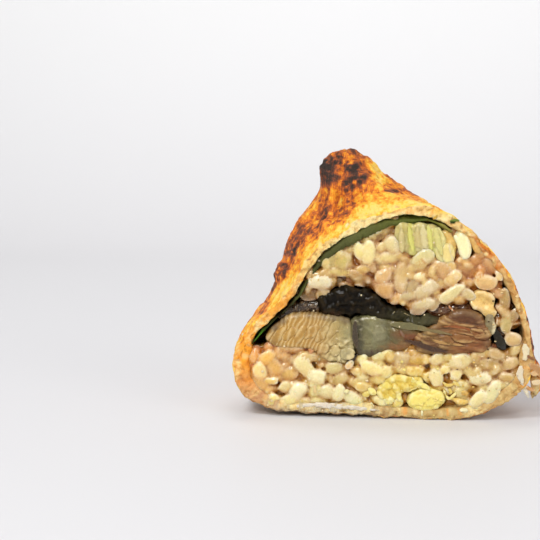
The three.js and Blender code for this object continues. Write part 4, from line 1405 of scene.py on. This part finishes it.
SAUCE_AND_GAP_SHADE = (
    # The first nine strands are a bed of sauce behind the gaps round and between the fillet's
    # pieces, made near black as painted shade where the gaps are deepest; the rest are sauce.
    (3.4, 3.0, 2.0, "#9a5a3c", [(-33, 19.5), (-25, 19), (-16, 17.6)]),
    (3.0, 3.0, 1.8, "#2e1812", [(-15, 16.6), (-7, 17), (2, 17.6)]),
    (3.4, 3.0, 1.8, "#96541a", [(2, 18), (8, 18.4), (14, 18.8)]),
    (3.4, 3.0, 1.8, "#7a3c1c", [(14, 19), (22, 19.6), (31, 20.8)]),
    (5.0, 3.0, 2.6, "#2a160c", [(-31, 28), (-24, 31), (-17, 31.5)]),
    (5.0, 3.0, 3.0, "#5c2e12", [(4, 32), (14, 30.6), (22, 30.6), (29, 26)]),
    (2.6, 2.0, 1.4, "#2c2018", [(-9.2, 28.5), (-9.2, 19)]),
    (3.0, 2.4, 1.6, "#4a2812", [(9, 27), (8, 19.6)]),
    (4.0, 3.0, 2.4, "#3a1d0e", [(30.5, 31), (32.5, 21.5)]),
    (1.1, 0.8, 1.2, "#b0683c", [(16.6, 32.4), (18.0, 31.0), (19.1, 28.8)]),
    (1.3, 1.1, 2.2, "#8f4214", [(19.1, 29.7), (21.7, 29.9), (23.6, 29.0)]),
    (1.4, 1.2, 1.6, "#bd6e2e", [(23.3, 27.6), (25.0, 27.0), (26.2, 25.5)]),
    (2.0, 1.4, 3.0, "#6d4a33", [(13.8, 29.8), (16.1, 30.3)]),
    (2.6, 1.9, 4.0, "#6a3c1c", [(17.7, 32.1), (20.3, 32.8), (23.1, 31.4)]),
    (1.2, 1.1, 2.4, "#9a5622", [(19.8, 27.2), (23.8, 27.0)]),
    (1.1, 0.9, 0.8, "#c07848", [(15.8, 20.0), (17.9, 21.0), (19.9, 21.7)]),
    (1.5, 1.3, 1.6, "#7a3d1c", [(22.5, 19.2), (24.8, 20.7), (27.3, 21.5)]),
    (1.2, 1.0, 1.2, "#9a5e3c", [(22.2, 18.8), (24.3, 16.8)]),
    (1.7, 1.4, 2.0, "#8a4a1a", [(2.9, 20.7), (6.4, 20.4), (9.8, 19.5)]),
    (2.0, 1.3, 1.4, "#b56a48", [(-34.5, 20.0), (-31.6, 20.7), (-29.0, 20.0)]),
    (2.3, 1.3, 1.6, "#a9603f", [(-29.6, 20.4), (-26.1, 18.9), (-23.2, 19.2)]),
    (1.7, 1.1, 0.9, "#c98a5a", [(-20.9, 20.0), (-21.7, 18.7), (-22.2, 17.1)]),
    (1.7, 1.1, 1.6, "#7d4030", [(-25.5, 19.8), (-23.8, 20.4), (-20.9, 20.7)]),
    (2.0, 1.4, 1.5, "#c98a2a", [(4.1, 20.0), (7.8, 20.2), (10.7, 19.2)]),
)
SKIN_SHREDS = (
    (0.7, 0.5, -0.6, "#f7cf4f", [(11.9, 56.3), (12.7, 56.8), (13.6, 57.9)]),
    (0.9, 0.7, -0.2, "#f0b95a", [(11.0, 57.7), (11.9, 57.1)]),
    (2.3, 0.8, -0.1, "#efe0bc", [(37.6, 22.2), (38.4, 19.6), (37.6, 17.2)]),
    (2.0, 0.8, -0.2, "#e9dcc2", [(36.9, 16.0), (36.5, 13.4), (37.6, 10.6)]),
    (1.7, 0.5, 0.4, "#d9d4c2", [(37.4, 10.9), (38.4, 8.6), (39.6, 6.4)]),
    (1.6, 1.2, -0.4, "#e6cfa8", [(39.7, 11.2), (42.4, 11.3)]),
    (2.2, 1.4, -0.2, "#b98a5a", [(39.2, 16.6), (41.4, 14.8), (42.8, 12.8)]),
    (1.3, 1.0, -0.5, "#d9b284", [(39.4, 13.8), (41.6, 13.4)]),
    (1.2, 1.0, -0.3, "#8a5a38", [(38.6, 18.6), (40.6, 17.6)]),
    (0.9, 0.7, 0.2, "#3a2618", [(42.7, 12.3), (43.3, 11.5)]),
    (1.1, 0.9, 0.0, "#c08a52", [(38.6, 10.0), (40.6, 8.9)]),
    (
        1.5, 0.8, 0.1, "#e2dacb",
        [(-27.0, 2.8), (-22.4, 3.5), (-18.1, 3.7), (-13.8, 3.3), (-8.5, 2.9), (-2.0, 2.4)],
    ),
    (0.8, 0.7, 0.3, "#e5c48a", [(-34.2, 2.6), (-33.0, 4.0), (-32.0, 5.4)]),
    (0.6, 0.5, 0.0, "#2c2a1c", [(-19.6, 44.7), (-18.9, 44.5)]),
)
GREEN_BITS = (
    (0.7, 0.5, 0.0, "#6a7d34", [(16.4, 55.9), (18.2, 56.2), (19.6, 56.0)]),
    (0.6, 0.5, -0.2, "#2a3a12", [(16.6, 55.6), (18.2, 55.5)]),
)
EEL_EDGES_AND_FOLD_SHADE = (
    (0.6, 0.5, 0.6, "#a8976a", [(0.3, 28.7), (1.2, 30.1), (2.9, 30.7), (4.9, 29.9), (6.2, 29.3)]),
    (0.4, 0.3, 0.4, "#9a8a66", [(-18.2, 28.1), (-17.3, 29.4), (-16.5, 30.2)]),
    (2.0, 0.9, -0.4, "#6a6641", [(0.5, 27.0), (6, 26.5), (11, 25.8)]),
    (1.0, 0.7, -0.4, "#7a6a40", [(8.5, 25.9), (13.5, 25.2), (18, 24.3)]),
    (0.9, 0.7, -0.3, "#b98c50", [(9, 23.4), (15, 22.0), (22, 21.2)]),
    (1.5, 0.8, -0.3, "#3a1d0a", [(4.5, 22.6), (8.5, 21.6), (12.5, 20.0), (17, 19.5)]),
    (0.8, 0.7, -0.4, "#8c4a1c", [(14.5, 26.6), (20, 26.6), (26, 24.6)]),
    # A dark strand as painted shade in the fold between the thick end and the middle.
    (1.6, 0.9, -0.3, "#35291a", [(-9.0, 28.0), (-9.2, 24.5), (-8.6, 20.0)]),
)
PALE_STICKS = (
    (9.6, 3.4, 0.25, "#c6b778", [(2.5, 49.8), (9, 51.0), (15.5, 50.0)]),
    (3.0, 2.4, 0.7, "#deb066", [(21.6, 53.2), (23.8, 50.2), (25.0, 46.8)]),
    (3.4, 2.4, 1.0, "#dcb868", [(15.5, 53.5), (17, 50), (17.6, 46)]),
    (1.1, 0.8, -0.3, "#d3d272", [(5.5, 54.6), (6.1, 50.6), (6.9, 47.0)]),
    (1.0, 0.8, -0.3, "#d6d478", [(10.8, 55.2), (11.3, 51.6), (11.9, 47.8)]),
    (1.6, 0.9, -0.1, "#d8cd98", [(9.4, 55.0), (9.8, 51.0), (10.1, 48.2)]),
    (1.7, 1.0, -0.1, "#d6cf84", [(12.8, 54.2), (13.7, 50.0), (14.8, 46.2)]),
    (1.9, 1.0, 0.0, "#cdbf86", [(3.5, 53.8), (3.5, 50.2), (3.9, 47.0)]),
    (1.4, 0.9, 0.0, "#cabb80", [(7.8, 54.8), (8.0, 51.2), (8.3, 48.4)]),
    (1.7, 1.6, 0.4, "#ecc98c", [(-20.3, 9.6), (-20.1, 6.3)]),
    (0.9, 0.8, 0.4, "#f0d9a0", [(16.6, 49.4), (17.0, 47.1), (18.0, 44.5)]),
)
PALE_TIP = ((3.4, 1.6, 0.6, "#8e8262", [(27.9, 30.4), (28.3, 27.2), (28.9, 24.2)]),)


def specks(rng, patches):
    """Tiny crumbs that lie on the cut face, from patches of x, z, reach, count, size and colour."""
    scene, graph = bpy.context.scene, bpy.context.evaluated_depsgraph_get()
    unit, faces = ball(7, 5)
    parts = []
    for x, z, reach, count, size, code in patches:
        for _ in range(count):
            spot = (x + rng.normal(0, reach), CUT - 6, z + rng.normal(0, reach))
            hit, place, *_ = scene.ray_cast(graph, Vector(spot) * MM, (0, 1, 0), distance=14 * MM)
            if hit:
                shape = unit * rng.uniform(0.5, 1.3, 3) * size * rng.uniform(0.6, 1.3)
                tint = np.array(linear(code)) * rng.uniform(0.8, 1.1)
                parts.append((shape + np.array(place) / MM, faces, tint))
    return joined(parts)


# Crumbs on the cut face: x, z, reach, count, half size, colour.
SPECKS = (
    (28, 16, 6, 8, 0.2, "#5a3a1c"),
    (14, 15, 8, 6, 0.2, "#5a3a1c"),
    (-8, 14, 8, 5, 0.2, "#6a401c"),
    (24, 28, 4, 4, 0.22, "#3c2412"),
    (12, 6, 6, 22, 0.4, "#f3e08a"),
    (22, 9, 4, 12, 0.4, "#e8c46c"),
    (-26, 12, 8, 12, 0.35, "#f6e4bc"),
    (30, 16, 5, 18, 0.35, "#e6cf9c"),
    (-14, 19, 4, 12, 0.35, "#c9b78a"),
    (5, 40, 14, 18, 0.3, "#f4e2ba"),
    (34, 34, 4, 16, 0.35, "#f0d29a"),
)


# Settings


class PouchStageSettings(bpy.types.PropertyGroup):
    """Where the camera stands, and the floor's colour."""

    camera_distance: FloatProperty(
        name="Camera distance", description="From the cut to the lens",
        default=EYE_DISTANCE * MM, unit="LENGTH",
    )
    camera_height: FloatProperty(
        name="Camera height", description="Height of the lens above the floor",
        default=EYE_HEIGHT * MM, unit="LENGTH",
    )
    camera_turn: FloatProperty(
        name="Camera turn", description="How far the camera looks to the left of the food",
        default=math.radians(5.58), subtype="ANGLE",
    )
    camera_tilt: FloatProperty(
        name="Camera tilt", description="How far the camera looks down",
        default=math.radians(6.12), subtype="ANGLE",
    )
    floor_colour: FloatVectorProperty(
        name="Floor colour", description="Pale colour of the floor",
        default=(0.74, 0.73, 0.74), subtype="COLOR",
    )


class PouchSkinSettings(bpy.types.PropertyGroup):
    """The skin's mesh."""

    fineness: FloatProperty(
        name="Fineness", description="Size of the skin's faces, in millimetres",
        default=0.58, min=0.4, max=2,
    )


class PouchRiceSettings(bpy.types.PropertyGroup):
    """The size and number of the rice grains, and their mesh."""

    grain_length: FloatProperty(name="Grain length", description="In millimetres", default=6.4)
    grain_width: FloatProperty(name="Grain width", description="In millimetres", default=3.9)
    grain_thickness: FloatProperty(
        name="Grain thickness", description="In millimetres", default=3.4
    )
    upper_count: IntProperty(
        name="Upper grains", description="Grains packed behind those shown", default=170
    )
    lower_count: IntProperty(
        name="Lower grains", description="Grains packed behind those shown", default=170
    )
    fineness: FloatProperty(
        name="Fineness", description="Size of the rice's faces, in millimetres",
        default=0.35, min=0.3, max=1,
    )


# Operators


class POUCH_OT_stage(bpy.types.Operator):
    """Sets the camera, a pale floor and soft studio light"""

    bl_idname = "pouch.stage"
    bl_label = "Stage"

    def execute(self, context):
        settings = context.scene.pouch_stage
        scene = context.scene
        scene.view_settings.view_transform = "Standard"
        camera = bpy.data.cameras.new("camera")
        camera.lens, camera.sensor_width = LENS, SENSOR_WIDTH
        eye = bpy.data.objects.new("camera", camera)
        eye.location = (0, CUT * MM - settings.camera_distance, settings.camera_height)
        eye.rotation_euler = (math.pi / 2 - settings.camera_tilt, 0, settings.camera_turn)
        scene.collection.objects.link(eye)
        scene.camera = eye

        sweep = self.sweep(reach=1500.0, back=450.0, bend=300.0, height=400.0)
        floor = bpy.data.objects.new("floor", new_mesh("floor", *sweep))
        floor.data.shade_smooth()
        scene.collection.objects.link(floor)
        material, weave, shader = new_material("floor")
        height = weave.add("ShaderNodeSeparateXYZ", {0: weave.place()}).outputs[2]
        shade = weave.maths("MULTIPLY", weave.noise(weave.place(), 0.004, 1.0), 0.03)
        rise = weave.maths("ADD", weave.between(height, 0.0, 350.0), shade)
        pale = weave.mix(rise, settings.floor_colour, (0.88, 0.88, 0.87))
        weave.put(pale, shader.inputs["Base Color"])
        set_gloss(shader, Roughness=0.6, Specular_IOR_Level=0.2)
        floor.data.materials.append(material)

        world = bpy.data.worlds.new("studio")
        scene.world = world
        world.use_nodes = True
        sky = world.node_tree.nodes["Background"]
        sky.inputs["Color"].default_value = (0.97, 0.98, 1.0, 1)
        sky.inputs["Strength"].default_value = 0.42
        for lamp in LAMPS:
            self.light(*lamp)
        return {"FINISHED"}

    @staticmethod
    def sweep(reach, back, bend, height, flat=60.0, sides=128, steps=24):
        """A floor that curves up into a wall all round, closest behind the food.

        It is flat as far as reach, or back behind the food; bend is the radius of the curve.
        """
        middle, half = (back - reach) / 2, (back + reach) / 2
        turns = [math.pi / 2 * i / steps for i in range(steps + 1)]
        profile = [(-flat, 0.0)]
        profile += [(bend * math.sin(turn), bend * (1 - math.cos(turn))) for turn in turns]
        profile.append((bend, height))
        points = []
        for out, rise in profile:
            for j in range(sides):
                c, s = math.cos(math.tau * j / sides), math.sin(math.tau * j / sides)
                x = math.copysign(abs(c) ** 0.5, c) * (reach + out)
                y = middle + math.copysign(abs(s) ** 0.5, s) * (half + out)
                points.append((x, y, rise))
        faces = [range(sides)]
        for i in range(len(profile) - 1):
            for j in range(sides):
                a, b, k = i * sides, (i + 1) * sides, (j + 1) % sides
                faces.append((a + j, b + j, b + k, a + k))
        return points, faces

    @staticmethod
    def light(name, place, target, size, power):
        """A soft square light that looks at the target."""
        lamp = bpy.data.lights.new(name, "AREA")
        lamp.size, lamp.energy = size, power
        stand = bpy.data.objects.new(name, lamp)
        stand.location = place
        stand.rotation_euler = (Vector(target) - stand.location).to_track_quat("-Z", "Y").to_euler()
        bpy.context.scene.collection.objects.link(stand)


class POUCH_OT_skin(bpy.types.Operator):
    """Makes the grilled tofu skin"""

    bl_idname = "pouch.skin"
    bl_label = "Tofu skin"

    def execute(self, context):
        mesh = skin_mesh(context.scene.pouch_skin)
        add_piece("tofu_skin_grilled", mesh, skin_material(), "tofu_skin", "tofu_skin")
        return {"FINISHED"}


class POUCH_OT_rice(bpy.types.Operator):
    """Packs the two layers of rice with single grains"""

    bl_idname = "pouch.rice"
    bl_label = "Rice"

    def execute(self, context):
        settings = context.scene.pouch_rice
        material = food_material("rice")
        counts = {"rice_upper": settings.upper_count, "rice_lower": settings.lower_count}
        for node, count in counts.items():
            grains = rice_grains(node, count, settings)
            add_piece(node + "_grains", grains, material, "rice", node)
            add_piece(node + "_core", rice_core(node), material, "rice", node)
        return {"FINISHED"}


class POUCH_OT_eel(bpy.types.Operator):
    """Makes the eel: its flesh in three pieces, its skin, and sauce with painted shade in its gaps
    """

    bl_idname = "pouch.eel"
    bl_label = "Eel"

    def execute(self, context):
        flesh, wet = food_material("eel_flesh"), food_material("eel_wet")
        black, sauce = food_material("eel_skin"), food_material("sauce")
        add_piece("eel_flesh_thick_flaked", thick_flesh(), flesh, "eel_flesh", "eel_flesh_thick")
        add_piece("eel_flesh_middle_wet", middle_flesh(), wet, "eel_flesh", "eel_flesh_middle")
        add_piece("eel_tail_layered", tail_flesh(), flesh, "eel_tail", "eel_tail")
        add_piece("eel_skin_folded", folded_skin(), black, "eel_skin", "eel_skin")
        add_strands("eel_skin_edges_and_fold_shade", EEL_EDGES_AND_FOLD_SHADE, 0.24, 0.12, wet, "eel_skin", "eel_skin")
        add_strands(
            "eel_tail_sauce_and_gap_shade", SAUCE_AND_GAP_SHADE, 0.36, 0.25, sauce, "eel_tail", "eel_tail",
            "#6a2c0c", 0.25, 0.8, 0.25, "#f0c48a",
        )
        return {"FINISHED"}


class POUCH_OT_greens(bpy.types.Operator):
    """Makes the leaf, the seaweed and the crisp vegetable pieces"""

    bl_idname = "pouch.greens"
    bl_label = "Leaf, seaweed and vegetables"

    def execute(self, context):
        green = food_material("green_leaf")
        add_piece("green_leaf_veined", leaf(), green, "green_leaf", "green_leaf")
        add_strands(
            "green_leaf_bits", GREEN_BITS, 0.22, 0.12, green, "green_leaf", "green_leaf",
            "#3a5a1c", 0.2, 0.6, 0.2, "#a8c870",
        )
        add_piece("nori_strip_dry", nori(), food_material("nori"), "nori", "nori_strip")
        crisp = food_material("vegetable")
        strips = ["vegetable_strip_%d" % i for i in range(1, 6)]
        mesh = vegetable(strips, STRIP_SHADES)
        add_piece("vegetable_strips_crisp", mesh, crisp, "vegetable", *strips)
        for name, code in (("vegetable_wedge", "#fdf0bc"), ("vegetable_chip", "#f5d98c")):
            add_piece(name + "_crisp", vegetable([name], [code]), crisp, "vegetable", name)
        return {"FINISHED"}


class POUCH_OT_egg(bpy.types.Operator):
    """Makes the egg and the other pale pieces"""

    bl_idname = "pouch.egg"
    bl_label = "Egg and pale pieces"

    def execute(self, context):
        yellow, cream = food_material("egg"), food_material("pale_piece")
        add_piece("egg_lump_bumpy", egg_lump(), yellow, "egg", "egg_lump")
        add_piece("egg_shreds_loose", egg_shreds(), yellow, "egg", "egg_shreds")
        add_strands(
            "egg_flakes", EGG_FLAKES, 0.28, 0.2, yellow, "egg", "egg_shreds",
            "#cf9a34", 0.22, 0.75, 0.35, "#fffbe0",
        )
        add_piece("pale_piece_lumpy", pale_piece(), cream, "pale_piece", "pale_piece")
        stains = (29.4, 25.5, 0.6, 2.4, -5, 0.8, "#eee2b8"), (28, 26, 0.7, 2, 0, 0.6, "#77704f")
        add_strands(
            "pale_piece_tip", PALE_TIP, 0.24, 0.2, cream, "pale_piece", "pale_piece", stains=stains
        )
        add_strands("rice_lower_stick", PALE_STICKS, 0.24, 0.12, cream, "rice", "rice_lower")
        return {"FINISHED"}


class POUCH_OT_shreds(bpy.types.Operator):
    """Makes the torn shreds of skin at the cut"""

    bl_idname = "pouch.shreds"
    bl_label = "Torn shreds of skin"

    def execute(self, context):
        add_strands(
            "tofu_skin_shreds", SKIN_SHREDS, 0.26, 0.25, food_material("torn_skin"), "tofu_skin",
            "tofu_skin", "#b07a3a", 0.25, 0.6, 0.3,
        )
        return {"FINISHED"}


class POUCH_OT_crumbs(bpy.types.Operator):
    """Scatters fine crumbs and specks of char over the cut"""

    bl_idname = "pouch.crumbs"
    bl_label = "Crumbs"

    def execute(self, context):
        points, faces, tints = specks(np.random.default_rng(7), SPECKS)
        mesh = new_mesh("crumbs", points, faces)
        paint(mesh, "tint", tints)
        add_piece("rice_lower_crumbs", mesh, food_material("crumbs"), "rice", "rice_lower")
        return {"FINISHED"}


class POUCH_PT_panel(bpy.types.Panel):
    """The pouch's pieces, one button each"""

    bl_idname = "POUCH_PT_panel"
    bl_label = "Stuffed pouch"
    bl_space_type = "VIEW_3D"
    bl_region_type = "UI"
    bl_category = "Pouch"

    def draw(self, context):
        for operator in OPERATORS:
            self.layout.operator(operator.bl_idname)


OPERATORS = (
    POUCH_OT_stage,
    POUCH_OT_skin,
    POUCH_OT_rice,
    POUCH_OT_eel,
    POUCH_OT_greens,
    POUCH_OT_egg,
    POUCH_OT_shreds,
    POUCH_OT_crumbs,
)
SETTINGS = {
    "pouch_stage": PouchStageSettings,
    "pouch_skin": PouchSkinSettings,
    "pouch_rice": PouchRiceSettings,
}
CLASSES = (*SETTINGS.values(), *OPERATORS, POUCH_PT_panel)


def register():
    """Adds the settings, the operators and the panel to Blender."""
    for kind in CLASSES:
        bpy.utils.register_class(kind)
    for name, kind in SETTINGS.items():
        setattr(bpy.types.Scene, name, PointerProperty(type=kind))


def unregister():
    """Takes them out again."""
    for name in SETTINGS:
        delattr(bpy.types.Scene, name)
    for kind in reversed(CLASSES):
        bpy.utils.unregister_class(kind)


def main():
    """Makes every piece in order."""
    register()
    bpy.ops.pouch.stage()
    bpy.ops.pouch.skin()
    bpy.ops.pouch.rice()
    bpy.ops.pouch.eel()
    bpy.ops.pouch.greens()
    bpy.ops.pouch.egg()
    bpy.ops.pouch.shreds()
    bpy.ops.pouch.crumbs()


if __name__ == "__main__":
    main()
